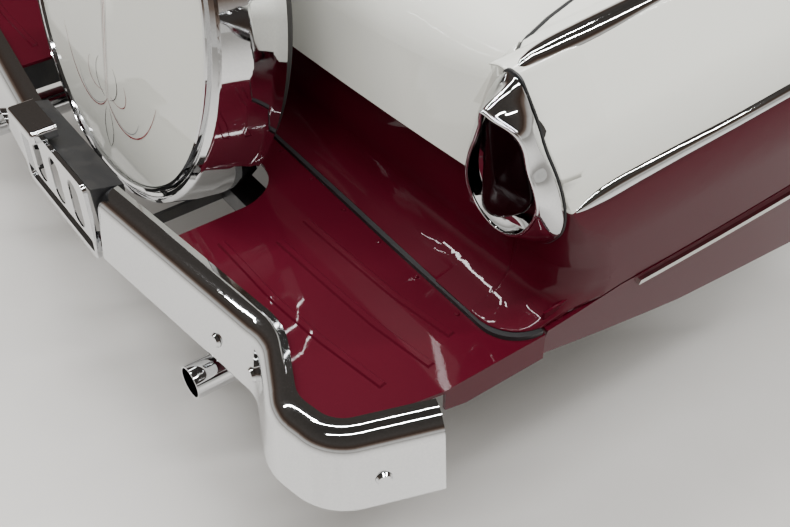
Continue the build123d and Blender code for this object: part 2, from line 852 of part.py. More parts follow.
with BuildPart() as plate_frame:
    with BuildSketch(xz_plane(plate_y + 8)):
        with Locations((0, plate_bottom + plate_height / 2)):
            RectangleRounded(plate_width, plate_height, 16)
            RectangleRounded(plate_width - 2 * plate_rim, plate_height - 2 * plate_rim, 8, mode=Mode.SUBTRACT)
    extrude(amount=8)
    with BuildSketch(xz_plane(plate_y + 8)):
        with Locations((0, plate_bottom + plate_height / 2)):
            RectangleRounded(plate_width - 2 * plate_rim, plate_height - 2 * plate_rim, 8)
            with Locations((-88, 0), (0, 0), (88, 0)):
                SlotOverall(104, 46, rotation=90, mode=Mode.SUBTRACT)
    extrude(amount=3)
    for side in (-1, 1):
        x = side * (housing_half - plate_sheet - 5)
        with BuildSketch(yz_plane(x)):
            with BuildLine():
                FilletPolyline(
                    (plate_y + 8, hinge_z - 16), (plate_y + 8, hinge_z + 30), (hinge_y + 12, hinge_z + 12),
                    (hinge_y + 12, hinge_z - 12), radius=[0, 0, 10, 10], close=True,
                )
            make_face()
            with Locations((hinge_y, hinge_z)):
                Circle(5, mode=Mode.SUBTRACT)
        extrude(amount=2, both=True)
save(plate_frame, "plate_frame")

with BuildPart() as plate_lamp:
    with BuildSketch(xz_plane(plate_y + 30)):
        with Locations((-62, plate_bottom + plate_height + 14)):
            RectangleRounded(120, 28, 9)
    extrude(amount=52)
    fillet(plate_lamp.edges().group_by(Axis.Y)[0], 7)
    with BuildSketch(Plane.XY.offset(plate_bottom + plate_height)):
        with Locations((-62, plate_y + 4)):
            Rectangle(104, 38)
    extrude(amount=10, mode=Mode.SUBTRACT)
    with Locations((-62, plate_y + 4, plate_bottom + plate_height + 6)):
        Box(40, 8, 12)
save(plate_lamp, "plate_lamp")

# Exhaust pipes with bright tips and their hangers on the rails
with BuildPart() as pipes:
    for side in (-1, 1):
        with BuildSketch(xz_plane(-2)):
            with Locations((side * exhaust_x, exhaust_z)):
                Circle(exhaust_radius)
                Circle(exhaust_radius - 3, mode=Mode.SUBTRACT)
        extrude(amount=-(tip_mouth_y + tip_length - 20))
save(pipes, "exhaust_pipes")
with BuildPart() as tips:
    for side in (-1, 1):
        with BuildSketch(xz_plane(tip_mouth_y + tip_length)):
            with Locations((side * exhaust_x, exhaust_z)):
                Circle(tip_radius)
                Circle(tip_radius - 4, mode=Mode.SUBTRACT)
        extrude(amount=tip_length)
        with BuildSketch(xz_plane(tip_mouth_y + tip_length)):
            with Locations((side * exhaust_x, exhaust_z)):
                Circle(tip_radius)
                Circle(exhaust_radius + 0.3, mode=Mode.SUBTRACT)
        extrude(amount=20)
save(tips, "exhaust_tips")
with BuildPart() as hangers:
    for side in (-1, 1):
        for y in (-940, -300):
            with BuildSketch(xz_plane(y)):
                with Locations((side * exhaust_x, exhaust_z)):
                    Circle(exhaust_radius + 6)
                    with Locations((-side * 18, 60)):
                        Rectangle(34, 108)
                    Circle(exhaust_radius + 0.3, mode=Mode.SUBTRACT)
            extrude(amount=24)
save(hangers, "exhaust_hangers")

# Tail lamps: gasket, hooded bezel, ribbed lens and the cup behind it
with BuildPart() as gasket_right:
    with BuildSketch(seat):
        add(outline_face(seat_outline))
        add(outline_face(seat_outline, opening_share), mode=Mode.SUBTRACT)
    extrude(amount=gasket_thickness)
bezel_foot = seat.offset(gasket_thickness)
with BuildPart() as bezel_right:
    with BuildSketch(bezel_foot):
        add(outline_face(seat_outline, 0.99))
    with BuildSketch(mouth):
        add(outline_face(mouth_outline))
    loft()
with BuildPart() as bowl:
    with BuildSketch(bezel_foot.offset(bowl_sheet)):
        add(outline_face(seat_outline, bowl_share))
    with BuildSketch(mouth):
        add(outline_face(mouth_outline, mouth_share))
    loft()
    with BuildSketch(mouth):
        add(outline_face(mouth_outline, mouth_share))
    extrude(amount=5)
    with BuildSketch(seat.offset(-20)):
        add(outline_face(seat_outline, lens_share + 0.01))
    extrude(amount=60)
with BuildPart() as lens_right:
    with BuildSketch(seat.offset(-30)):
        add(outline_face(seat_outline, lens_share))
    extrude(amount=130)
    with Locations(mouth.offset(250 - lens_recess)):
        Box(500, 500, 500, mode=Mode.SUBTRACT)
    front_edges = lens_right.faces().sort_by(Axis.Y)[0].edges()
    fillet(front_edges, 10)
with BuildPart() as bezel_open:
    add(bezel_right.part)
    add(bowl.part, mode=Mode.SUBTRACT)
for piece, name in ((gasket_right, "lamp_gaskets"), (bezel_open, "lamp_bezels"), (lens_right, "lamp_lenses")):
    with BuildPart() as pair:
        add(piece.part)
        add(mirror(piece.part, about=Plane.YZ))
    save(pair, name)

# Bright trim: strips cut from a skin that stands proud of the right fender
with BuildPart() as trim_skin:
    add(fender_form(-trim_sheet))
    add(fender_form(0), mode=Mode.SUBTRACT)


def trim_strip(outline, plane, depth, name):
    """Strip of the bright skin inside an outline, on both sides of the car."""
    with BuildPart() as strip:
        add(trim_skin.part)
        with BuildSketch(plane):
            with BuildLine():
                Polyline(*outline, close=True)
            make_face()
        extrude(amount=depth, mode=Mode.INTERSECT)
        add(mirror(strip.part, about=Plane.YZ))
    save(strip, name)
    return strip


belt = trim_strip(
    [(-1050, 372), (-1000, 399), (-897, 413), (0, 438), (0, 416), (-906, 383), (-990, 377)],
    yz_plane(850), 200, "belt_mouldings",
)
spear = trim_strip(
    [(786, 0), (828, 0), (836, -900), (844, -1010), (840, -1076), (833, -1078), (804, -1020),
     (787, -940), (784, -860)],
    Plane.XY.offset(500), 200, "fender_spears",
)
side_strip = trim_strip(
    [(-860, 122), (-300, 132), (-300, 146), (-860, 134)], yz_plane(850), 200, "lower_side_strips"
)

# Wheelhouses: rolled sheets over the wheel, from the boot's side out to the body shell
with BuildPart() as wheelhouse:
    with BuildSketch(yz_plane(boot_side_x)):
        with Locations((arch_y, arch_z)):
            Circle(arch_radius + wheelhouse_sheet)
            Circle(arch_radius, mode=Mode.SUBTRACT)
        with Locations((arch_y + 500, 0), (0, arch_z - 500)):
            Rectangle(1000 + 2 * arch_y, 1000, mode=Mode.SUBTRACT)
    extrude(amount=300)
    add(body_inside, mode=Mode.INTERSECT)
with BuildPart() as wheelhouses:
    add(wheelhouse.part)
    add(mirror(wheelhouse.part, about=Plane.YZ))
save(wheelhouses, "wheelhouses")
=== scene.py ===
"""Tail section of a 1950s convertible car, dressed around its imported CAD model.

Metres. X is the car's right, Y is forward, Z is up. The origin is the middle of the four
bolts at the front ends of the frame rails.
"""
from math import atan2, cos, hypot, pi, radians, sin, sqrt, tan

import bmesh
import bpy
from mathutils import Matrix, Vector
from mathutils.bvhtree import BVHTree


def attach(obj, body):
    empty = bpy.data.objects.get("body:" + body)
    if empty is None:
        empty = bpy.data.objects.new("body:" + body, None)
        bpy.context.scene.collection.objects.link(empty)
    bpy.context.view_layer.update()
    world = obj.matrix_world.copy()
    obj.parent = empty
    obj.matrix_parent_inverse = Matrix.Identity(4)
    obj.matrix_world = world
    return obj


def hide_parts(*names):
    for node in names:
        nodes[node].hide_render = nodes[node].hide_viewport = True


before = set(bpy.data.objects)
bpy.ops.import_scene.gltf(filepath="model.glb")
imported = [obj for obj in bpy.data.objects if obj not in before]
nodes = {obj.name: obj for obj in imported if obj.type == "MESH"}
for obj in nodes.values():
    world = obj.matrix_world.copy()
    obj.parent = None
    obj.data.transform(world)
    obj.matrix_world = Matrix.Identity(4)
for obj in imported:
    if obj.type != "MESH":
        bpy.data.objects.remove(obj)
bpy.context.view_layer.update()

# ----------------------------------------
# Camera: stands behind the car's right rear corner and looks down over the tail lamp
# towards the spare wheel. Its place, its turn and its lens are fitted to the object.
camera_place = Vector((1.7359, -1.9304, 1.3143))
camera_right = Vector((0.58766282, 0.80907302, -0.00729809))
camera_up = Vector((-0.53203813, 0.39320523, 0.74988337))
camera_back = camera_right.cross(camera_up)
sensor_width_mm, lens_mm = 36.0, 50.13


def shown(name, data):
    """A new object for a mesh, a lamp or a camera, linked into the scene."""
    made = bpy.data.objects.new(name, data)
    bpy.context.scene.collection.objects.link(made)
    return made


camera = shown("camera", bpy.data.cameras.new("camera"))
camera.data.sensor_width, camera.data.lens = sensor_width_mm, lens_mm
camera.matrix_world = Matrix.Translation(camera_place) @ Matrix(
    (camera_right, camera_up, camera_back)).transposed().to_4x4()
bpy.context.scene.camera = camera

# ----------------------------------------
# Studio: a plain room, pale near the floor and dark towards the ceiling, with four strip
# lights that draw the long streaks on the paint. A colour shows about as it is written.


def linear(code):
    """Linear colour of an sRGB hex value."""
    parts = [int(code[i:i + 2], 16) / 255 for i in (1, 3, 5)]
    return tuple(c / 12.92 if c < 0.04045 else ((c + 0.055) / 1.055) ** 2.4 for c in parts) + (1.0,)


def feed(tree, node, inputs):
    """Link sockets to a node's inputs, or set them to values, by name or number."""
    for name, value in inputs.items():
        if isinstance(value, bpy.types.NodeSocket):
            tree.links.new(value, node.inputs[name])
        else:
            node.inputs[name].default_value = value


def add(tree, kind, inputs=None, **settings):
    """Add one node, with its properties as settings and its inputs fed."""
    made = tree.nodes.new(kind)
    for name, value in settings.items():
        setattr(made, name, value)
    feed(tree, made, inputs or {})
    return made


room = bpy.data.worlds.new("studio_room")
room.use_nodes = True
room.node_tree.nodes.clear()
tree = room.node_tree
seen = add(tree, "ShaderNodeLightPath")
direction = add(tree, "ShaderNodeTexCoord")
height = add(tree, "ShaderNodeSeparateXYZ", {0: direction.outputs["Generated"]})
walls = add(tree, "ShaderNodeValToRGB", {0: height.outputs["Z"]})
ramp = walls.color_ramp
ramp.elements[0].position, ramp.elements[0].color = 0.0, linear("#d9d7d2")
ramp.elements[1].position, ramp.elements[1].color = 1.0, linear("#3b3835")
for place, code in ((0.10, "#bdb9b4"), (0.20, "#7a6a5f"), (0.32, "#463830"), (0.55, "#4d4844")):
    stop = ramp.elements.new(place)
    stop.color = linear(code)
pale = add(tree, "ShaderNodeBackground", {"Color": linear("#d4d2ce"), "Strength": 1.0})
mirrored = add(tree, "ShaderNodeBackground", {"Color": walls.outputs[0], "Strength": 1.0})
glow = add(tree, "ShaderNodeBackground", {"Color": linear("#f6f4f0"), "Strength": 0.80})
glossy = add(tree, "ShaderNodeMixShader",
             {0: seen.outputs["Is Glossy Ray"], 1: glow.outputs[0], 2: mirrored.outputs[0]})
through = add(tree, "ShaderNodeMixShader",
              {0: seen.outputs["Is Transmission Ray"], 1: glossy.outputs[0], 2: mirrored.outputs[0]})
plain = add(tree, "ShaderNodeMixShader",
            {0: seen.outputs["Is Camera Ray"], 1: through.outputs[0], 2: pale.outputs[0]})
add(tree, "ShaderNodeOutputWorld", {"Surface": plain.outputs[0]})
bpy.context.scene.world = room

strip_length, strip_width, strip_height, strip_turn, strip_watts = 2.4, 0.09, 2.6, radians(62), 60
for number, (x, y) in enumerate([(-1.1, -2.2), (0.1, -0.6), (1.5, -1.6), (2.3, 0.6)]):
    tube = bpy.data.lights.new(f"strip_light_{number}", "AREA")
    tube.shape, tube.size, tube.size_y, tube.energy = "RECTANGLE", strip_length, strip_width, strip_watts
    holder = shown(f"strip_light_{number}", tube)
    holder.location = (x, y, strip_height)
    holder.rotation_euler = (0, 0, strip_turn)

# ----------------------------------------
# Floor: power-floated concrete with a pale sealer, faintly cloudy. It is cast in place
# and belongs to the studio, not to the car.
floor_level, floor_reach = -0.400, 14.0
slab = bpy.data.meshes.new("floor")
square = ((-1, -1), (1, -1), (1, 1), (-1, 1))
slab.from_pydata([(x * floor_reach, y * floor_reach, floor_level) for x, y in square], [], [(0, 1, 2, 3)])
floor = shown("floor", slab)


def finish_named(name):
    """A new procedural material, its tree, the Object coordinates that it reads, and its skin."""
    made = bpy.data.materials.new(name)
    made.use_nodes = True
    tree = made.node_tree
    tree.nodes.clear()
    skin = add(tree, "ShaderNodeBsdfPrincipled")
    add(tree, "ShaderNodeOutputMaterial", {"Surface": skin.outputs[0]})
    return made, tree, add(tree, "ShaderNodeTexCoord").outputs["Object"], skin


# Sealed concrete: pale and matt with soft cloudy patches a hand's breadth across.
concrete, tree, here, skin = finish_named("sealed_concrete")
clouds = add(tree, "ShaderNodeTexNoise", {"Vector": here, "Scale": 5.0, "Detail": 6.0})
tone = add(tree, "ShaderNodeMix", {0: clouds.outputs[0], 6: linear("#cfccc8"), 7: linear("#dad8d4")},
           data_type="RGBA")
feed(tree, skin, {"Base Color": tone.outputs[2], "Roughness": 0.55})
floor.data.materials.append(concrete)

# ----------------------------------------
# Frame: pressed steel rails and cross member with their irons and brackets, all sprayed
# with satin black chassis enamel, and carrying everything else on the section.


def dress(material, *names):
    """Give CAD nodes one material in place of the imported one."""
    for name in names:
        mesh = nodes[name].data
        mesh.materials.clear()
        mesh.materials.append(material)


# Chassis enamel: satin black from a spray gun, so a slight orange peel of about 3 mm,
# dulled by a film of grey road dust in cloudy patches.
enamel, tree, here, skin = finish_named("satin_black_chassis_enamel")
peel = add(tree, "ShaderNodeTexNoise", {"Vector": here, "Scale": 330.0, "Detail": 2.0})
dust = add(tree, "ShaderNodeTexNoise", {"Vector": here, "Scale": 14.0, "Detail": 8.0, "Roughness": 0.65})
film = add(tree, "ShaderNodeMapRange", {0: dust.outputs[0], 1: 0.45, 2: 0.8, 3: 0.0, 4: 0.35})
tone = add(tree, "ShaderNodeMix", {0: film.outputs[0], 6: linear("#17171a"), 7: linear("#5a5650")},
           data_type="RGBA")
gloss = add(tree, "ShaderNodeMapRange", {0: dust.outputs[0], 1: 0.3, 2: 0.8, 3: 0.32, 4: 0.6})
bumps = add(tree, "ShaderNodeBump", {"Height": peel.outputs[0], "Strength": 0.12, "Distance": 0.001})
feed(tree, skin, {
    "Base Color": tone.outputs[2], "Roughness": gloss.outputs[0], "Normal": bumps.outputs[0]})
dress(enamel, "frame_rails", "rear_cross_member", "bumper_irons", "spare_carrier",
      "lid_arm_brackets", "lid_arms", "exhaust_hangers")

# ----------------------------------------
# Exhaust: rolled and welded aluminised tube, clamped in the hangers, with bright plated
# tips pushed over the ends.

# Aluminised steel: dull grey, brushed round the tube by the rolling mill, with heat tint
# and dry water marks in patches.
aluminised, tree, here, skin = finish_named("aluminised_steel_tube")
stretched = add(tree, "ShaderNodeMapping", {"Vector": here, "Scale": (900.0, 40.0, 900.0)})
rolled = add(tree, "ShaderNodeTexNoise", {"Vector": stretched.outputs[0], "Scale": 1.0, "Detail": 3.0})
marks = add(tree, "ShaderNodeTexNoise", {"Vector": here, "Scale": 18.0, "Detail": 7.0})
tone = add(tree, "ShaderNodeMix", {0: marks.outputs[0], 6: linear("#6f6c66"), 7: linear("#9c9a94")},
           data_type="RGBA")
gloss = add(tree, "ShaderNodeMapRange", {0: marks.outputs[0], 1: 0.3, 2: 0.7, 3: 0.34, 4: 0.55})
bumps = add(tree, "ShaderNodeBump", {"Height": rolled.outputs[0], "Strength": 0.2, "Distance": 0.0005})
feed(tree, skin, {
    "Base Color": tone.outputs[2], "Metallic": 1.0, "Roughness": gloss.outputs[0],
    "Normal": bumps.outputs[0]})
dress(aluminised, "exhaust_pipes")

# Chromium plate: mirror bright over polished nickel, faintly blue-grey, with the long
# ripple of the steel under it and a haze of fine polishing marks a few mm across.
chrome, tree, here, skin = finish_named("bright_chromium_plate")
ripple = add(tree, "ShaderNodeTexNoise", {"Vector": here, "Scale": 22.0, "Detail": 1.0})
haze = add(tree, "ShaderNodeTexNoise", {"Vector": here, "Scale": 260.0, "Detail": 4.0})
gloss = add(tree, "ShaderNodeMapRange", {0: haze.outputs[0], 1: 0.35, 2: 0.75, 3: 0.025, 4: 0.07})
tone = add(tree, "ShaderNodeMix", {0: haze.outputs[0], 6: linear("#cfd1d4"), 7: linear("#e4e4e4")},
           data_type="RGBA")
bumps = add(tree, "ShaderNodeBump", {"Height": ripple.outputs[0], "Strength": 0.03, "Distance": 0.004})
feed(tree, skin, {
    "Base Color": tone.outputs[2], "Metallic": 1.0, "Roughness": gloss.outputs[0],
    "Normal": bumps.outputs[0]})
dress(chrome, "exhaust_tips")

# ----------------------------------------
# Boot inside: floor, side walls, front wall and wheelhouses, pressed from sheet steel,
# spot welded, and sprayed with two-tone speckled boot paint.

# Speckled boot paint: a black base with a fine spatter of grey drops up to 2.5 mm across,
# left unpolished, so it is matt and slightly rough to the touch.
spatter, tree, here, skin = finish_named("speckled_boot_paint")
drops = add(tree, "ShaderNodeTexVoronoi", {"Vector": here, "Scale": 260.0, "Randomness": 1.0})
size = add(tree, "ShaderNodeSeparateXYZ", {0: drops.outputs["Color"]})
reach = add(tree, "ShaderNodeMath", {0: size.outputs[0], 1: 0.34}, operation="MULTIPLY")
wet = add(tree, "ShaderNodeMath", {0: drops.outputs["Distance"], 1: reach.outputs[0]},
          operation="LESS_THAN")
tone = add(tree, "ShaderNodeMix", {0: wet.outputs[0], 6: linear("#1c1c1d"), 7: linear("#7f8284")},
           data_type="RGBA")
bumps = add(tree, "ShaderNodeBump", {"Height": wet.outputs[0], "Strength": 0.2, "Distance": 0.0006})
feed(tree, skin, {
    "Base Color": tone.outputs[2], "Roughness": 0.62, "Normal": bumps.outputs[0]})
dress(spatter, "boot_floor", "boot_side_walls", "boot_front_wall", "wheelhouses")

# ----------------------------------------
# Painted body: quarter panels, rear panel, side panels and pan, pressed steel sprayed
# dark red below the belt moulding and cream above it, then cleared and polished.

# The masking line: its height at the origin, its rise for each metre forwards, and how fast it
# bends down past a distance behind the origin
belt_height, belt_rise, bend_start, bend_rate = 0.4265, 0.0415, 0.9, -0.65
red_code, red_shade, cream_code, cream_shade = "#4a0618", "#3c0413", "#d6d6ce", "#cecec6"


def gloss_paint(name, lower, upper=None, coat=0.75):
    """Cleared enamel: lower and upper are (colour, shade); the two meet under the belt moulding."""
    made, tree, here, skin = finish_named(name)
    flakes = add(tree, "ShaderNodeTexNoise", {"Vector": here, "Scale": 700.0, "Detail": 2.0})
    colour = add(tree, "ShaderNodeMix", {0: flakes.outputs[0], 6: linear(lower[1]), 7: linear(lower[0])},
                 data_type="RGBA").outputs[2]
    if upper:
        place = add(tree, "ShaderNodeSeparateXYZ", {0: here})
        split = add(tree, "ShaderNodeMath", {0: place.outputs["Y"], 1: belt_rise, 2: belt_height},
                    operation="MULTIPLY_ADD")
        behind = add(tree, "ShaderNodeMath", {0: place.outputs["Y"], 1: -1.0, 2: -bend_start},
                     operation="MULTIPLY_ADD")
        behind = add(tree, "ShaderNodeMath", {0: behind.outputs[0], 1: 0.0}, operation="MAXIMUM")
        bend = add(tree, "ShaderNodeMath", {0: behind.outputs[0], 1: 2.0}, operation="POWER")
        split = add(tree, "ShaderNodeMath", {0: bend.outputs[0], 1: bend_rate, 2: split.outputs[0]},
                    operation="MULTIPLY_ADD")
        above = add(tree, "ShaderNodeMath", {0: place.outputs["Z"], 1: split.outputs[0]},
                    operation="GREATER_THAN")
        pale = add(tree, "ShaderNodeMix", {0: flakes.outputs[0], 6: linear(upper[1]), 7: linear(upper[0])},
                   data_type="RGBA").outputs[2]
        colour = add(tree, "ShaderNodeMix", {0: above.outputs[0], 6: colour, 7: pale},
                     data_type="RGBA").outputs[2]
    peel = add(tree, "ShaderNodeTexNoise", {"Vector": here, "Scale": 240.0, "Detail": 2.0})
    bumps = add(tree, "ShaderNodeBump", {"Height": peel.outputs[0], "Strength": 0.012, "Distance": 0.001})
    feed(tree, skin, {
        "Base Color": colour, "Roughness": 0.5, "Specular IOR Level": 0.05, "Coat Weight": coat,
        "Coat Roughness": 0.025, "Normal": bumps.outputs[0], "Coat Normal": bumps.outputs[0]})
    return made


# Dark red acrylic enamel, cleared: deep and wet, with a very fine lighter flake that
# only shows close to.
red_paint = gloss_paint("dark_red_gloss_enamel", (red_code, red_shade), coat=0.38)
# Cream enamel: solid colour, cooler in the shade, polished to the same gloss.
cream_paint = gloss_paint("cream_gloss_enamel", (cream_code, cream_shade))
# Both on one pressing, masked along the line that the belt moulding covers.
two_tone = gloss_paint("two_tone_gloss_enamel", (red_code, red_shade), (cream_code, cream_shade), coat=0.28)
dress(two_tone, "quarter_panel_left", "quarter_panel_right")
dress(red_paint, "rear_panel", "lower_side_left", "lower_side_right", "extension_pan")
dress(cream_paint, "tulip_panel", "deck_lid", "spare_wheel")

# ----------------------------------------
# Fender ends: the last stretch of each quarter panel in front of the tail lamp, a pressing
# of its own that is welded on, leaded over and sprayed with the panel, so no joint shows.

# The fender's middle line, and the last two stations where its skin is whole
fender_axis_x, fender_axis_z, last_section, section_before = 0.800, 0.470, -0.985, -0.925
# The flat on which the lamp sits, leaning forward at its top
seat_middle, seat_lean = Vector((0.815, -1.058, 0.388)), radians(11)
# The sheet starts sunk in the panel, comes out proud of it, and stops this far past the seat
skin_sunk, skin_proud, skin_sheet, past_seat = -0.0008, 0.0012, 0.002, 0.0004
# The sheet's grid: round the fender in degrees and along it, and the steps over which it comes out
first_angle, angle_span, angle_steps, first_station, station_steps = -26, 130, 48, -0.955, 24
front_fade, lower_fade, upper_fade, off_fender = 6, 6, 4, 0.4


def tree_of(name):
    """A search tree over a CAD node's surface, in its own triangles."""
    mesh = nodes[name].data
    mesh.calc_loop_triangles()
    return BVHTree.FromPolygons([v.co for v in mesh.vertices], [t.vertices for t in mesh.loop_triangles])


quarter = tree_of("quarter_panel_right")


def carried_on(measure, y):
    """A measure of the fender's skin at station y; behind its last full section it runs on straight."""
    if y > last_section:
        return measure(y)
    near, far = measure(last_section), measure(section_before)
    return near + (near - far) * (last_section - y) / (section_before - last_section)


def skin_reach(angle, y):
    """Distance from the fender's middle line to its outer skin, at an angle up from the right."""
    way = Vector((cos(angle), 0, sin(angle)))

    def measure(at):
        middle = Vector((fender_axis_x, at, fender_axis_z))
        return (quarter.ray_cast(middle + way * off_fender, -way)[0] - middle).length
    return carried_on(measure, y)


def closed_grid(name, outer, inner, material):
    """A closed sheet between two grids of points of one size, on the right and mirrored on the left."""
    rows, columns = len(outer), len(outer[0])
    half = rows * columns
    faces = []
    for r in range(rows - 1):
        for c in range(columns - 1):
            a = r * columns + c
            b, d, e = a + 1, a + columns + 1, a + columns
            faces += [(a, b, d, e), (half + e, half + d, half + b, half + a)]
    last = (rows - 1) * columns
    rim = (list(range(columns)) + [r * columns + columns - 1 for r in range(1, rows)]
           + [last + c for c in range(columns - 2, -1, -1)] + [r * columns for r in range(rows - 2, 0, -1)])
    for k, a in enumerate(rim):
        b = rim[(k + 1) % len(rim)]
        faces.append((b, a, half + a, half + b))
    return mirrored_piece(name, outer + inner, faces, material)


def ring_faces(count, rings, closed):
    """Faces that join rings of points in order, and the last to the first where the section is closed."""
    faces = []
    for r in range(rings if closed else rings - 1):
        for k in range(count):
            a, b = r * count + k, r * count + (k + 1) % count
            c, d = (r + 1) % rings * count + (k + 1) % count, (r + 1) % rings * count + k
            faces.append((a, b, c, d))
    return faces


def capped_faces(count, rings):
    """Faces that join rings of points in order, with one face over each end."""
    last = (rings - 1) * count
    return ring_faces(count, rings, False) + [tuple(reversed(range(count))), tuple(range(last, last + count))]


def mirrored_piece(name, rows, faces, material):
    """A smooth closed piece from rows of points on the right and its mirror image, as one object."""
    points = [q for row in rows for q in row]
    count = len(points)
    mesh = bpy.data.meshes.new(name)
    mesh.from_pydata(points + [Vector((-q.x, q.y, q.z)) for q in points], [],
                     faces + [tuple(count + v for v in reversed(f)) for f in faces])
    shape = bmesh.new()
    shape.from_mesh(mesh)
    bmesh.ops.recalc_face_normals(shape, faces=shape.faces)
    for face in shape.faces:
        face.smooth = True
    shape.to_mesh(mesh)
    shape.free()
    mesh.materials.append(material)
    return shown(name, mesh)


outer, inner = [], []
for k in range(angle_steps + 1):
    angle = radians(first_angle + angle_span * k / angle_steps)
    way = Vector((cos(angle), 0, sin(angle)))
    edge_fade = min(1.0, k / lower_fade, (angle_steps - k) / upper_fade)
    outer_row, inner_row = [], []
    foot_z = fender_axis_z + skin_reach(angle, seat_middle.y) * sin(angle)
    last_station = seat_middle.y - tan(seat_lean) * (foot_z - seat_middle.z) + past_seat
    for step in range(station_steps + 1):
        y = first_station + (last_station - first_station) * step / station_steps
        fade = min(1.0, step / front_fade) * edge_fade
        reach = skin_reach(angle, y) + skin_sunk + (skin_proud - skin_sunk) * fade
        middle = Vector((fender_axis_x, y, fender_axis_z))
        outer_row.append(middle + way * reach)
        inner_row.append(middle + way * (reach - skin_sheet))
    outer.append(outer_row)
    inner.append(inner_row)
fender_ends = closed_grid("fender_ends", outer, inner, cream_paint)
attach(fender_ends, "body")

# ----------------------------------------
# Rear corners: below each lamp the quarter panel turns the corner in one broad round and
# sweeps in to the cove. The corner is a deep drawing, welded into the panel, leaded over
# and painted with it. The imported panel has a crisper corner, so a copy is cut back here.

# Plan of the corner at each height: z, side x, corner radius (mm)
corner_table = [(-300, 871, 75), (118, 871, 75), (128, 874, 78), (135, 877, 82), (145, 880, 86),
                (160, 884, 88), (183, 892, 86), (222, 903, 78), (300, 921, 35), (380, 936, 25),
                (900, 936, 25)]
# How far the side flares for each metre forwards, and where the round's sheet starts and ends
corner_flare, corner_inner_x, cut_front_y, sheet_front_y = 0.25, 0.795, -0.800, -0.880
corner_foot_z, corner_top_z, lamp_foot_z, cove_outer_x = 0.1165, 0.374, 0.25, 0.85
# Steps of the plan line across the rear, round the corner and along the side, and of its levels
rear_steps, round_steps, side_steps, sheet_levels, level_bunching = 10, 16, 12, 60, 1.35
# The copy is cut back inside the round, and the sheet stands proud of it
cut_back, sheet_proud, corner_sheet, below_skin = 0.0006, 0.0002, 0.0020, 0.0007
# Box that holds the part of the panel that is kept, and where rays start: behind, above or beside
zone_inner_x, zone_outer_x, zone_rear_y, zone_front_y = 0.450, 1.050, -1.3, 0.3
far_behind, beyond, side_from_x = -1.6, 1.5, 0.8
weld_distance, sharp_edge = 1e-5, radians(28)


def rear_face(x, z):
    """Station of the panel's rear face: as pressed up to the lamp's seat, then the seat's own plane."""
    if z > lamp_foot_z:
        return seat_middle.y - tan(seat_lean) * (z - seat_middle.z)
    start = Vector((min(x, cove_outer_x), far_behind, max(z, corner_foot_z)))
    return quarter.ray_cast(start, Vector((0, 1, 0)))[0].y


def corner_plan(z, grow, inner_x, front_y):
    """Plan line of the rear corner at a height: rear face, round and side, grown outwards."""
    for low, high in zip(corner_table, corner_table[1:]):
        if low[0] <= z * 1000 <= high[0]:
            share = (z * 1000 - low[0]) / (high[0] - low[0])
            side_x, radius = (a / 1000 * (1 - share) + b / 1000 * share for a, b in zip(low[1:], high[1:]))
    side_x, radius = side_x + grow, radius + grow
    rear = rear_face(side_x - radius, z) - grow
    slope = Vector((corner_flare, 1.0)).normalized()
    turn = slope.angle(Vector((1, 0)))
    near = radius * tan(turn / 2)
    middle = Vector((side_x - near, rear + radius))
    start = side_x - near
    across = [inner_x + (start - inner_x) * k / rear_steps for k in range(rear_steps)]
    points = [Vector((x, rear_face(x, z) - grow)) for x in across]
    for k in range(round_steps + 1):
        angle = turn * k / round_steps
        points.append(middle + Vector((sin(angle), -cos(angle))) * radius)
    last = points[-1]
    reach = (front_y - last.y) / slope.y
    return points + [last + slope * (reach * k / side_steps) for k in range(1, side_steps + 1)]


# Levels of the box: below the panel, every 4 mm over the corner, and above the panel
below, corner_low_z, corner_rise, corner_levels, above, inner_step, front_step = (
    [-0.3, 0.0], 0.116, 0.264, 66, [0.9], 0.001, 0.1)
levels = below + [corner_low_z + corner_rise * k / corner_levels for k in range(corner_levels + 1)] + above
zone_rows = []
for z in levels:
    plan = [(zone_inner_x, zone_rear_y), (corner_inner_x - inner_step, zone_rear_y)]
    plan += [(q.x, q.y) for q in corner_plan(z, -cut_back, corner_inner_x, cut_front_y)]
    plan += [(zone_outer_x, cut_front_y + front_step), (zone_outer_x, zone_front_y),
             (zone_inner_x, zone_front_y)]
    zone_rows.append([Vector((x, y, z)) for x, y in plan])
zone = mirrored_piece("corner_zone", zone_rows, capped_faces(len(zone_rows[0]), len(levels)), two_tone)


def frozen(start, name):
    """The plain mesh of an object with its modifiers carried out; the object itself goes."""
    bpy.context.view_layer.update()
    mesh = bpy.data.meshes.new_from_object(start.evaluated_get(bpy.context.evaluated_depsgraph_get()))
    start.modifiers.clear()
    bpy.data.objects.remove(start)
    mesh.name = name
    return mesh


for side_name in ("right", "left"):
    node = nodes["quarter_panel_" + side_name]
    shape = bmesh.new()
    shape.from_mesh(node.data)
    bmesh.ops.remove_doubles(shape, verts=shape.verts, dist=weld_distance)
    mesh = bpy.data.meshes.new("trimmed")
    shape.to_mesh(mesh)
    shape.free()
    for face in mesh.polygons:
        face.use_smooth = True
    mesh.set_sharp_from_angle(angle=sharp_edge)
    start = shown("trimmed", mesh)
    trim = start.modifiers.new("trim", "BOOLEAN")
    trim.operation, trim.solver, trim.object = "INTERSECT", "EXACT", zone
    evened = start.modifiers.new("normals", "WEIGHTED_NORMAL")
    evened.mode, evened.weight, evened.keep_sharp = "FACE_AREA_WITH_ANGLE", 100, True
    mesh = frozen(start, "trimmed_quarter_" + side_name)
    mesh.materials.clear()
    mesh.materials.append(two_tone)
    panel = shown("trimmed_quarter_" + side_name, mesh)
    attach(panel, "body")
    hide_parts("quarter_panel_" + side_name)
bpy.data.objects.remove(zone)
lower_side = tree_of("lower_side_right")


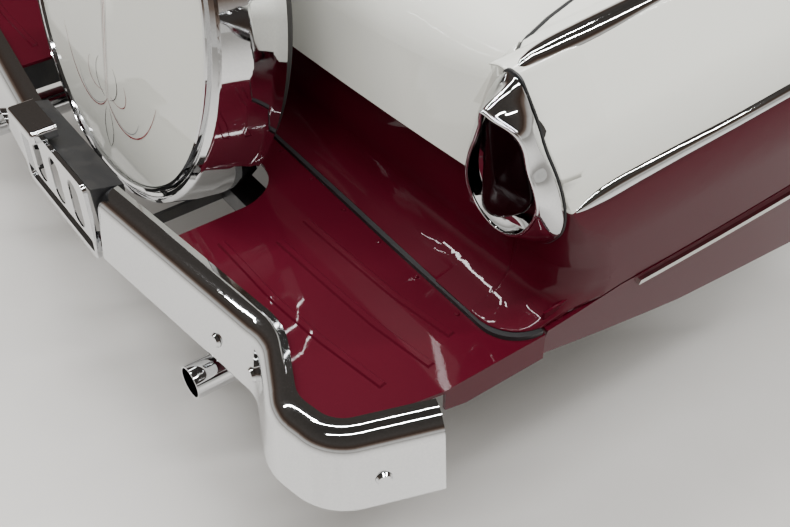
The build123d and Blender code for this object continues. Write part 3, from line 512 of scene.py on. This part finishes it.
def under_skin(q):
    """A point of the corner, sunk just below the side panels' skin wherever it would stand out of it."""
    start, inwards = Vector((beyond, q.y, q.z)), Vector((-1, 0, 0))
    hits = [panel.ray_cast(start, inwards)[0] for panel in (quarter, lower_side)]
    sides = [hit.x for hit in hits if hit is not None and hit.x > side_from_x]
    return Vector((min(q.x, max(sides) - below_skin) if sides else q.x, q.y, q.z))


outer, inner = [], []
for k in range(sheet_levels + 1):
    z = corner_foot_z + (corner_top_z - corner_foot_z) * (k / sheet_levels) ** level_bunching
    plan = corner_plan(z, sheet_proud, corner_inner_x - corner_sheet, sheet_front_y)
    face = [under_skin(Vector((q.x, q.y, z))) for q in plan]
    outer.append(face)
    inner.append([q + Vector((-corner_sheet, corner_sheet, 0)) for q in face])
rear_corners = closed_grid("rear_corners", outer, inner, two_tone)
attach(rear_corners, "body")

# ----------------------------------------
# Welt: extruded black rubber cord, pinched between the body and the pan so that the
# painted edges don't rub.

# Moulded rubber: black, matt, with a fine grain and a grey bloom where it has aged.
rubber, tree, here, skin = finish_named("black_moulded_rubber")
grain = add(tree, "ShaderNodeTexNoise", {"Vector": here, "Scale": 600.0, "Detail": 3.0})
bloom = add(tree, "ShaderNodeTexNoise", {"Vector": here, "Scale": 30.0, "Detail": 5.0})
tone = add(tree, "ShaderNodeMix", {0: bloom.outputs[0], 6: linear("#121213"), 7: linear("#2c2c2d")},
           data_type="RGBA")
bumps = add(tree, "ShaderNodeBump", {"Height": grain.outputs[0], "Strength": 0.25, "Distance": 0.0005})
feed(tree, skin, {
    "Base Color": tone.outputs[2], "Roughness": 0.5, "Normal": bumps.outputs[0]})
dress(rubber, "pan_welt", "lamp_gaskets")

# ----------------------------------------
# Pan screws: small round-headed screws, painted with the body, every 100 mm along the
# pan's front edge just behind the welt, into clips on the body.
screw_radius, screw_height, screw_pitch, pan_top = 0.0045, 0.0022, 0.1, 0.108
# Line of the screws on the right-hand side (x, y)
screw_line = [(0.130, -1.1160), (0.600, -1.1250), (0.780, -1.1262)]


def screw_head(radius, rise, sides=12):
    """A shallow domed head of a few dozen faces, sunk a little through z = 0."""
    points = []
    # Each ring of points: its share of the radius and of the rise
    for share, level in ((1.0, -0.2), (1.0, 0.25), (0.8, 0.75), (0.4, 1.0)):
        for k in range(sides):
            turn = 2 * pi * k / sides
            points.append((radius * share * cos(turn), radius * share * sin(turn), rise * level))
    mesh = bpy.data.meshes.new("screw_head")
    mesh.from_pydata(points, [], capped_faces(sides, 4))
    return bpy.data.objects.new("screw_head", mesh)


def new_tree(name, *sizes):
    """A Geometry Nodes tree with a mesh in and out and one named input for each size."""
    tree = bpy.data.node_groups.new(name, "GeometryNodeTree")
    tree.interface.new_socket("Geometry", in_out="INPUT", socket_type="NodeSocketGeometry")
    tree.interface.new_socket("Geometry", in_out="OUTPUT", socket_type="NodeSocketGeometry")
    for size_name, kind in sizes:
        tree.interface.new_socket(size_name, in_out="INPUT", socket_type=kind)
    return tree


def grown(name, start, tree, values, body):
    """Run a tree on a start object with its named inputs set; the result is one plain piece."""
    bpy.context.scene.collection.objects.link(start)
    modifier = start.modifiers.new(tree.name, "NODES")
    modifier.node_group = tree
    for item in tree.interface.items_tree:
        if item.in_out == "INPUT" and item.name in values:
            modifier[item.identifier] = values[item.name]
    piece = shown(name, frozen(start, name))
    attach(piece, body)


def line_mesh(name, lines):
    """Edges only, one run for each list of points."""
    points, edges = [], []
    for run in lines:
        edges += [(len(points) + k, len(points) + k + 1) for k in range(len(run) - 1)]
        points += run
    mesh = bpy.data.meshes.new(name)
    mesh.from_pydata(points, edges, [])
    return bpy.data.objects.new(name, mesh)


head = screw_head(screw_radius, screw_height)
tree = new_tree("row_of_screws", ("Pitch", "NodeSocketFloat"), ("Screw", "NodeSocketObject"),
                ("Paint", "NodeSocketMaterial"))
given = add(tree, "NodeGroupInput")
curve = add(tree, "GeometryNodeMeshToCurve", {"Mesh": given.outputs["Geometry"]})
points = add(tree, "GeometryNodeCurveToPoints", {"Curve": curve.outputs[0], "Length": given.outputs["Pitch"]},
             mode="LENGTH")
screw = add(tree, "GeometryNodeObjectInfo", {"Object": given.outputs["Screw"]}, transform_space="ORIGINAL")
placed = add(tree, "GeometryNodeInstanceOnPoints",
             {"Points": points.outputs["Points"], "Instance": screw.outputs["Geometry"]})
real = add(tree, "GeometryNodeRealizeInstances", {0: placed.outputs[0]})
painted = add(tree, "GeometryNodeSetMaterial",
              {"Geometry": real.outputs[0], "Material": given.outputs["Paint"]})
add(tree, "NodeGroupOutput", {0: painted.outputs[0]})
rows = [[(side * x, y, pan_top) for x, y in screw_line] for side in (-1, 1)]
grown("pan_screws", line_mesh("pan_screws", rows), tree,
      {"Pitch": screw_pitch, "Screw": head, "Paint": red_paint}, "body")

# ----------------------------------------
# Bumper: two rolled and pressed steel bars, plated, bolted through their faces to the
# irons with plated round-headed bolts.
dress(chrome, "bumper_bar_left", "bumper_bar_right", "bumper_bolts")

# ----------------------------------------
# Tail lamps: a die-cast plated bezel of two lobes on a rubber gasket, with one tall
# moulded lens let into its bowl.
mouth_middle, mouth_lean = Vector((0.815, -1.102, 0.388)), radians(20)
gasket_sheet, bead_radius, bead_pitch, bead_inset, bowl_floor = 0.003, 0.0030, 0.004, 0.0022, 0.006
# Wall of the bezel at its lip, how far that wall and the bowl's swell outwards, and the shares of
# the foot's outline at which the wall, the bowl's floor and its well stand
lip_sheet, lip_roll, bezel_swell, bowl_swell = 0.004, 0.001, 0.006, 0.003
wall_share, bowl_share, well_share = 0.99, 0.84, 0.62
# Cuts of a rounded corner and of a curved stretch, and rings of the bezel's wall and of its bowl
corner_cuts, curve_cuts, wall_rings, bowl_rings, fullness = 12, 12, 12, 8, 0.8
# Point that the rings are drawn around, across and up from the lamp's middle
lamp_heart = Vector((0.010, 0.0))
# Outline of the bezel's foot on the gasket: across, up and corner radius from the lamp's middle (mm)
foot_table = [(6, 182, 20), (34, 180, 16), (62, 120, 200), (72, 78, 120), (104, 20, 150),
              (102, -62, 120), (44, -138, 100), (-66, -147, 56), (-108, -86, 85), (-78, 50, 400)]
# Lip of the hood and bowl: across, up, and how far it stands back from the mouth's plane (mm)
lip_table = [(30, 157, 0), (46, 150, 3), (62, 144, 7), (77, 132, 12), (84, 108, 14), (88, 72, 9),
             (98, 42, 4), (98, 6, 0), (73, -48, 0), (29, -112, 0), (-14, -150, 0), (-56, -156, 0),
             (-83, -124, 0), (-80, -61, 0), (-50, 11, 0), (-12, 75, 0), (15, 122, 0)]
# Front edge of the lens, in the same way
lens_table = [(24, 131, 6), (44, 137, 9), (61, 128, 13), (70, 104, 16), (74, 66, 13), (77, 8, 6),
              (56, -36, 4), (32, -66, 3), (-20, -116, 2), (-46, -134, 2), (-61, -137, 2), (-70, -122, 2),
              (-42, -40, 3), (-14, 34, 4), (8, 90, 5)]


def on_plane(middle, lean, u, v, lift):
    """Point u across and v up a plane that leans forward at its top, lifted off it rearwards."""
    up = Vector((0, -sin(lean), cos(lean)))
    out = Vector((0, -cos(lean), -sin(lean)))
    return middle + Vector((u, 0, 0)) + up * v + out * lift


def rounded_loop(table):
    """Points of a closed outline in metres whose corners are rounded to the given radii."""
    corners = [Vector((u, v)) / 1000 for u, v, _ in table]
    points = []
    for k, corner in enumerate(corners):
        to_last = (corners[k - 1] - corner).normalized()
        to_next = (corners[(k + 1) % len(corners)] - corner).normalized()
        half = to_last.angle(to_next) / 2
        radius = table[k][2] / 1000
        middle = corner + (to_last + to_next).normalized() * (radius / sin(half))
        start = corner + to_last * (radius / sin(half) * cos(half)) - middle
        end = corner + to_next * (radius / sin(half) * cos(half)) - middle
        turn = start.angle_signed(end)
        for step in range(corner_cuts + 1):
            a = -turn * step / corner_cuts
            q = middle + Vector((start.x * cos(a) - start.y * sin(a), start.x * sin(a) + start.y * cos(a)))
            points.append((q.x, q.y, 0.0))
    return points


def smooth_loop(table):
    """Points of a smooth closed curve through a table of (u, v, recess) in mm, in metres."""
    points = []
    for k in range(len(table)):
        p = [Vector(table[(k + n) % len(table)]) / 1000 for n in (-1, 0, 1, 2)]
        for step in range(curve_cuts):
            t = step / curve_cuts
            q = 0.5 * (2 * p[1] + (p[2] - p[0]) * t + (2 * p[0] - 5 * p[1] + 4 * p[2] - p[3]) * t * t
                       + (3 * p[1] - p[0] - 3 * p[2] + p[3]) * t ** 3)
            points.append(tuple(q))
    return points


def around(loop, count=144):
    """The loop met by rays from the lamp's heart at equal angles: (distance, recess) for each."""
    spokes = []
    for u, v, recess in loop:
        right, up = u - lamp_heart.x, v - lamp_heart.y
        spokes.append((atan2(up, right) % (2 * pi), hypot(right, up), recess))
    spokes.sort()
    first, last = spokes[0], spokes[-1]
    spokes = [(last[0] - 2 * pi, *last[1:])] + spokes + [(first[0] + 2 * pi, *first[1:])]
    met, place = [], 0
    for k in range(count):
        angle = 2 * pi * k / count
        while spokes[place + 1][0] < angle:
            place += 1
        low, high = spokes[place], spokes[place + 1]
        share = (angle - low[0]) / max(high[0] - low[0], 1e-9)
        met.append((low[1] + (high[1] - low[1]) * share, low[2] + (high[2] - low[2]) * share))
    return met


def ring(spokes, middle, lean, share=1.0, inset=0.0, lift=0.0):
    """One ring of points: the outline scaled and inset towards the heart, on a leaning plane."""
    points = []
    for k, (reach, recess) in enumerate(spokes):
        angle = 2 * pi * k / len(spokes)
        out = reach * share - inset
        u, v = lamp_heart.x + out * cos(angle), lamp_heart.y + out * sin(angle)
        points.append(on_plane(middle, lean, u, v, lift - recess))
    return points


def swelled(low, high, share, swell):
    """A ring part of the way from one ring to another, swelled outwards from the lamp's heart."""
    row = []
    for k, (start, end) in enumerate(zip(low, high)):
        angle = 2 * pi * k / len(low)
        row.append(start.lerp(end, share) + Vector((cos(angle), 0, sin(angle))) * swell)
    return row


foot, lip = around(rounded_loop(foot_table)), around(smooth_loop(lip_table))
lens_edge = around(smooth_loop(lens_table))
spoke_count = len(foot)
foot_ring = ring(foot, seat_middle, seat_lean, wall_share, 0.0, gasket_sheet)
lip_ring = ring(lip, mouth_middle, mouth_lean)
bowl_lip = ring(lip, mouth_middle, mouth_lean, 1.0, lip_sheet, -lip_roll)
bowl_foot = ring(foot, seat_middle, seat_lean, bowl_share, 0.0, bowl_floor)
rings = [foot_ring]
rings += [swelled(foot_ring, lip_ring, k / wall_rings, bezel_swell * sin(pi * k / wall_rings) ** fullness)
          for k in range(1, wall_rings)]
rings += [lip_ring, bowl_lip]
rings += [swelled(bowl_lip, bowl_foot, k / bowl_rings, bowl_swell * sin(pi * k / bowl_rings))
          for k in range(1, bowl_rings)]
rings += [bowl_foot, ring(foot, seat_middle, seat_lean, well_share, 0.0, bowl_floor),
          ring(foot, seat_middle, seat_lean, well_share, 0.0, gasket_sheet)]
bezels = mirrored_piece("hooded_bezels", rings, ring_faces(spoke_count, len(rings), True), chrome)
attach(bezels, "body")
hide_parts("lamp_bezels")

# Rolled bead along the lip, swept by Geometry Nodes
bead_run = ring(lip, mouth_middle, mouth_lean, 1.0, bead_inset, 0.0)
bead_points = bead_run + [Vector((-q.x, q.y, q.z)) for q in bead_run]
bead_edges = [(first + k, first + (k + 1) % spoke_count)
              for first in (0, spoke_count) for k in range(spoke_count)]
bead_mesh = bpy.data.meshes.new("bezel_beads")
bead_mesh.from_pydata(bead_points, bead_edges, [])
bead_tree = new_tree("swept_bead", ("Radius", "NodeSocketFloat"), ("Pitch", "NodeSocketFloat"),
                     ("Finish", "NodeSocketMaterial"))
given = add(bead_tree, "NodeGroupInput")
curve = add(bead_tree, "GeometryNodeMeshToCurve", {"Mesh": given.outputs["Geometry"]})
evened = add(bead_tree, "GeometryNodeResampleCurve",
             {"Curve": curve.outputs[0], "Length": given.outputs["Pitch"]}, mode="LENGTH")
section = add(bead_tree, "GeometryNodeCurvePrimitiveCircle",
              {"Resolution": 12, "Radius": given.outputs["Radius"]})
swept = add(bead_tree, "GeometryNodeCurveToMesh",
            {"Curve": evened.outputs[0], "Profile Curve": section.outputs[0], "Fill Caps": True})
smooth = add(bead_tree, "GeometryNodeSetShadeSmooth", {"Geometry": swept.outputs[0]})
real = add(bead_tree, "GeometryNodeRealizeInstances", {0: smooth.outputs[0]})
finished = add(bead_tree, "GeometryNodeSetMaterial",
               {"Geometry": real.outputs[0], "Material": given.outputs["Finish"]})
add(bead_tree, "NodeGroupOutput", {0: finished.outputs[0]})
grown("bezel_beads", bpy.data.objects.new("bezel_beads", bead_mesh), bead_tree,
      {"Radius": bead_radius, "Pitch": bead_pitch, "Finish": chrome}, "body")

# Moulded acrylic lens: very deep red, polished outside, so dark that it reads as black
# until light falls on it.
lens, tree, here, skin = finish_named("deep_red_moulded_lens")
depth = add(tree, "ShaderNodeTexNoise", {"Vector": here, "Scale": 12.0, "Detail": 3.0})
tone = add(tree, "ShaderNodeMix", {0: depth.outputs[0], 6: linear("#060203"), 7: linear("#100405")},
           data_type="RGBA")
feed(tree, skin, {
    "Base Color": tone.outputs[2], "Roughness": 0.14, "IOR": 1.49, "Specular IOR Level": 0.05})
# Share and lift of the lens's back, and how much of the edge's recess a ring has beyond its share
lens_back_share, lens_back_lift, recess_gain = 0.84, 0.004, 0.2
lens_rings = [ring(lens_edge, seat_middle, seat_lean, lens_back_share, 0.0, lens_back_lift)]
# Each ring of the lens's crowned face: share of its outline, inset and lift (mm)
for share, inset, lift in ((1.0, 0, -10), (1.0, 0, -4.5), (1.0, 1.2, -1.8), (1.0, 3.8, -0.3),
                           (0.93, 3.8, 0.8), (0.75, 3.8, 2.2), (0.5, 2, 3.4), (0.25, 1, 4.0),
                           (0.06, 0, 4.2)):
    inset, lift = inset / 1000, lift / 1000
    blend = [(reach, recess * min(1.0, share + recess_gain)) for reach, recess in lens_edge]
    lens_rings.append(ring(blend, mouth_middle, mouth_lean, share, inset, lift))
lenses = mirrored_piece("tall_lenses", lens_rings, capped_faces(spoke_count, len(lens_rings)), lens)
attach(lenses, "body")
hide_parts("lamp_lenses")

# ----------------------------------------
# Trim: rolled strip held by clips from inside the panels. The belt mouldings and the spears
# on the fender tops are plated, and the lower sides have strips of polished stainless steel.

# Polished stainless steel: a shade warmer than chrome, with faint marks along the strip.
stainless, tree, here, skin = finish_named("polished_stainless_strip")
along = add(tree, "ShaderNodeMapping", {"Vector": here, "Scale": (700.0, 12.0, 700.0)})
lines = add(tree, "ShaderNodeTexNoise", {"Vector": along.outputs[0], "Scale": 1.0, "Detail": 3.0})
gloss = add(tree, "ShaderNodeMapRange", {0: lines.outputs[0], 1: 0.3, 2: 0.7, 3: 0.06, 4: 0.13})
tone = add(tree, "ShaderNodeMix", {0: lines.outputs[0], 6: linear("#c9c7c2"), 7: linear("#dcdad6")},
           data_type="RGBA")
bumps = add(tree, "ShaderNodeBump", {"Height": lines.outputs[0], "Strength": 0.02, "Distance": 0.0005})
feed(tree, skin, {
    "Base Color": tone.outputs[2], "Metallic": 1.0, "Roughness": gloss.outputs[0],
    "Normal": bumps.outputs[0]})
dress(stainless, "lower_side_strips")
# How far the strips' feet reach into the panel, and how far each kind stands off it (mm)
strip_sheet, spear_rise_mm, belt_rise_mm = 0.0015, 8.0, 6.5


def between(table, y, column):
    """Smooth value of a column at station y in a table whose first column is y, front to rear."""
    for k in range(len(table) - 1):
        if table[k + 1][0] <= y <= table[k][0]:
            p = [table[max(0, k - 1)], table[k], table[k + 1], table[min(len(table) - 1, k + 2)]]
            t = (y - p[1][0]) / (p[2][0] - p[1][0])
            rise = [(b[column] - a[column]) / (b[0] - a[0]) if b is not a else None
                    for a, b in zip(p, p[1:])]
            step = p[2][0] - p[1][0]
            first = (rise[1] if rise[0] is None else (rise[0] + rise[1]) / 2) * step
            last = (rise[1] if rise[2] is None else (rise[1] + rise[2]) / 2) * step
            return ((2 * t ** 3 - 3 * t * t + 1) * p[1][column] + (t ** 3 - 2 * t * t + t) * first
                    + (3 * t * t - 2 * t ** 3) * p[2][column] + (t ** 3 - t * t) * last)
    return table[-1][column]


def crowned_strip(name, table, look, rise, material):
    """Rolled strip lying on the fender: table has (y, edge, other edge) in mm, and look is the way
    in which the panel is met; the strip's section is a flat-topped crown, and its ends are closed."""
    stations, cuts, full_width, bunching, flatness, rows = 110, 14, 24, 1.7, 2.6, []
    first, last = table[0][0], table[-1][0]
    for k in range(stations + 1):
        y = first + (last - first) * (1 - (1 - k / stations) ** bunching)
        low, high = between(table, y, 1), between(table, y, 2)
        tall = rise * min(1.0, abs(high - low) / full_width)
        tops, feet = [], []
        for c in range(cuts + 1):
            share = c / cuts
            edge = (low + (high - low) * share) / 1000

            def start(at):
                return Vector((edge, at, beyond)) if look.z else Vector((beyond, at, edge))

            def measure(at):
                return quarter.ray_cast(start(at), look)[3]
            depth = carried_on(measure, y / 1000) if look.z else measure(y / 1000)
            foot_point = start(y / 1000) + look * depth
            tops.append(foot_point - look * (tall / 1000 * (1 - abs(2 * share - 1) ** flatness)))
            feet.append(foot_point + look * strip_sheet)
        rows.append(tops + list(reversed(feet)))
    count = len(rows[0])
    last = (len(rows) - 1) * count
    faces = ring_faces(count, len(rows), False)
    faces += [tuple(range(count)), tuple(reversed(range(last, last + count)))]
    return mirrored_piece(name, rows, faces, material)


# Top spear: columns are y, inner edge x, outer edge x, from the front to the rounded rear end (mm)
spear_table = [(-1, 777, 814), (-800, 780, 820), (-904, 783, 825), (-956, 785, 826), (-1002, 789, 825),
               (-1030, 796, 824.5), (-1050, 803, 823.5), (-1064, 809, 822), (-1070, 814, 819.5)]
spears = crowned_strip("crowned_spears", spear_table, Vector((0, 0, -1)), spear_rise_mm, chrome)
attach(spears, "body")
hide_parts("fender_spears")
# Belt moulding: columns are y, lower edge z, upper edge z
belt_table = [(-1, 417, 437), (-616, 395, 416), (-753, 387, 408), (-846, 381, 404), (-933, 373, 398),
              (-975, 368, 394), (-1009, 366, 387), (-1030, 365.5, 378), (-1044, 367, 370)]
belts = crowned_strip("crowned_belt_mouldings", belt_table, Vector((-1, 0, 0)), belt_rise_mm, chrome)
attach(belts, "body")
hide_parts("belt_mouldings")

# ----------------------------------------
# Lid weatherstrip: black extruded sponge rubber glued along the quarter panels' edge of
# the boot opening; it fills most of the shut gap, so its black is also painted shade for the gap's dark line.
strip_radius, strip_sunk, strip_pitch, panel_beside, laid_pitch = 0.0034, 0.0024, 0.01, 0.006, 0.02
# Middle of the strip on the right-hand side, from the front to the rear (x, y)
strip_line = [(0.7067, -0.225), (0.7067, -0.500), (0.7067, -0.860), (0.7317, -0.940), (0.7597, -1.005),
              (0.7817, -1.058)]


def laid_line(corners, panel, pitch, reach, sunk):
    """Points every pitch along a plan line, each at the height of the panel beside it."""
    points = []
    for low, high in zip(corners, corners[1:]):
        steps = max(1, round((Vector(high) - Vector(low)).length / pitch))
        for k in range(steps):
            x, y = Vector(low).lerp(Vector(high), k / steps)
            met = panel.ray_cast(Vector((x + reach, y, beyond)), Vector((0, 0, -1)))[0]
            points.append(Vector((x, y, met.z - sunk)))
    return points


right_line = laid_line(strip_line, quarter, laid_pitch, panel_beside, strip_sunk)
left_line = [Vector((-q.x, q.y, q.z)) for q in right_line]
# A black cord along both lines: real rubber, set high so that it stands in as painted shade for the gap's
# depth
grown("lid_weatherstrip", line_mesh("lid_weatherstrip", [right_line, left_line]), bead_tree,
      {"Radius": strip_radius, "Pitch": strip_pitch, "Finish": rubber}, "body")

# ----------------------------------------
# Spare wheel: a crossply tyre on a pressed steel wheel, inside a spun cover with a bright
# ring and a painted disc, on the carrier bolted to the frame.
dress(chrome, "cover_ring")
dress(cream_paint, "cover_disc")
# Tyre rubber: carbon black, matt, with a fine moulded grain, slightly brown with age in
# cloudy patches.
tyre, tree, here, skin = finish_named("carbon_black_tyre_rubber")
grain = add(tree, "ShaderNodeTexNoise", {"Vector": here, "Scale": 450.0, "Detail": 4.0})
age = add(tree, "ShaderNodeTexNoise", {"Vector": here, "Scale": 9.0, "Detail": 6.0})
tone = add(tree, "ShaderNodeMix", {0: age.outputs[0], 6: linear("#161615"), 7: linear("#2d2b28")},
           data_type="RGBA")
bumps = add(tree, "ShaderNodeBump", {"Height": grain.outputs[0], "Strength": 0.3, "Distance": 0.0008})
feed(tree, skin, {
    "Base Color": tone.outputs[2], "Roughness": 0.72, "Normal": bumps.outputs[0]})
dress(tyre, "spare_tyre")

# ----------------------------------------
# Pinstripes: hand-pulled lines of sign enamel on the painted disc, a plain mirrored
# pattern of leaves about an upright double line, brushed straight on to the paint.
disc_centre, disc_lean = Vector((0.0, -1.300, 0.390)), radians(10)
disc_radius, disc_crown, line_lift, tip_share, taper_power = 0.350, 0.014, 0.0004, 0.12, 0.6
across = Vector((1, 0, 0))
upward = Vector((0, sin(disc_lean), cos(disc_lean)))
inward = Vector((0, cos(disc_lean), -sin(disc_lean)))
# One stroke: its four control points across and up the disc (mm), widest half width (mm), colour
stroke_table = [
    ((3, 300), (3, 120), (4, -40), (3, -214), 0.8, "red"),
    ((9, 250), (10, 100), (9, -60), (7, -198), 0.6, "grey"),
    ((0, -206), (40, -268), (150, -262), (196, -132), 1.5, "red"),
    ((6, -212), (60, -262), (120, -236), (128, -196), 0.9, "grey"),
    ((10, -206), (44, -196), (58, -160), (30, -132), 1.1, "black"),
    ((14, -196), (70, -216), (96, -176), (72, -148), 0.9, "red"),
    ((6, -226), (24, -262), (20, -292), (0, -312), 1.1, "black"),
]
stroke_codes = {"red": "#8d1a2c", "grey": "#8c8f92", "black": "#2a2426"}


def on_disc(u, v):
    """Point on the crowned face of the disc, u across and v up from its middle, in metres."""
    face_radius = (disc_radius ** 2 + disc_crown ** 2) / (2 * disc_crown)
    sunk = -disc_crown + face_radius - sqrt(face_radius ** 2 - u * u - v * v) - line_lift
    return disc_centre + across * u + upward * v + inward * sunk


def stripe_set(colour, count=40):
    """Every stroke of one colour, on both sides of the upright line, as tapered ribbons."""
    points, faces = [], []
    for *controls, half_width, name in stroke_table:
        if name != colour:
            continue
        for side in (-1, 1):
            first = len(points)
            p = [Vector((side * u / 1000, v / 1000)) for u, v in controls]
            for k in range(count + 1):
                t = k / count
                middle = (p[0] * (1 - t) ** 3 + p[1] * 3 * t * (1 - t) ** 2
                          + p[2] * 3 * t * t * (1 - t) + p[3] * t ** 3)
                ahead = ((p[1] - p[0]) * 3 * (1 - t) ** 2 + (p[2] - p[1]) * 6 * t * (1 - t)
                         + (p[3] - p[2]) * 3 * t * t)
                taper = tip_share + (1 - tip_share) * sin(pi * t) ** taper_power
                beside = Vector((-ahead.y, ahead.x)).normalized() * half_width / 1000 * taper
                points += [on_disc(*(middle + beside)), on_disc(*(middle - beside))]
            for k in range(count):
                a = first + 2 * k
                faces.append((a, a + 1, a + 3, a + 2))
    mesh = bpy.data.meshes.new(f"pinstripes_{colour}")
    mesh.from_pydata(points, [], faces)
    shape = bmesh.new()
    shape.from_mesh(mesh)
    for face in shape.faces:
        if face.normal.dot(inward) > 0:
            face.normal_flip()
    shape.to_mesh(mesh)
    shape.free()
    return shown(f"pinstripes_{colour}", mesh)


for colour, code in stroke_codes.items():
    # Sign enamel: thick brushed colour, glossy, thinner towards the ends of each stroke.
    line_paint, tree, here, skin = finish_named(f"brushed_sign_enamel_{colour}")
    load = add(tree, "ShaderNodeTexNoise", {"Vector": here, "Scale": 90.0, "Detail": 3.0})
    thin = add(tree, "ShaderNodeMapRange", {0: load.outputs[0], 1: 0.35, 2: 0.75, 3: 0.0, 4: 0.35})
    tone = add(tree, "ShaderNodeMix", {0: thin.outputs[0], 6: linear(code), 7: linear("#cfcfc8")},
               data_type="RGBA")
    feed(tree, skin, {
        "Base Color": tone.outputs[2], "Roughness": 0.25, "Coat Weight": 0.8, "Coat Roughness": 0.04})
    stripes = stripe_set(colour)
    stripes.data.materials.append(line_paint)
    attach(stripes, "body")

# ----------------------------------------
# Number plate holder: a cast housing between the bars, sprayed black, a plated frame that
# swings down on its ear bolts, and a plated lamp over it.
dress(enamel, "plate_housing")
dress(chrome, "plate_frame", "plate_lamp")
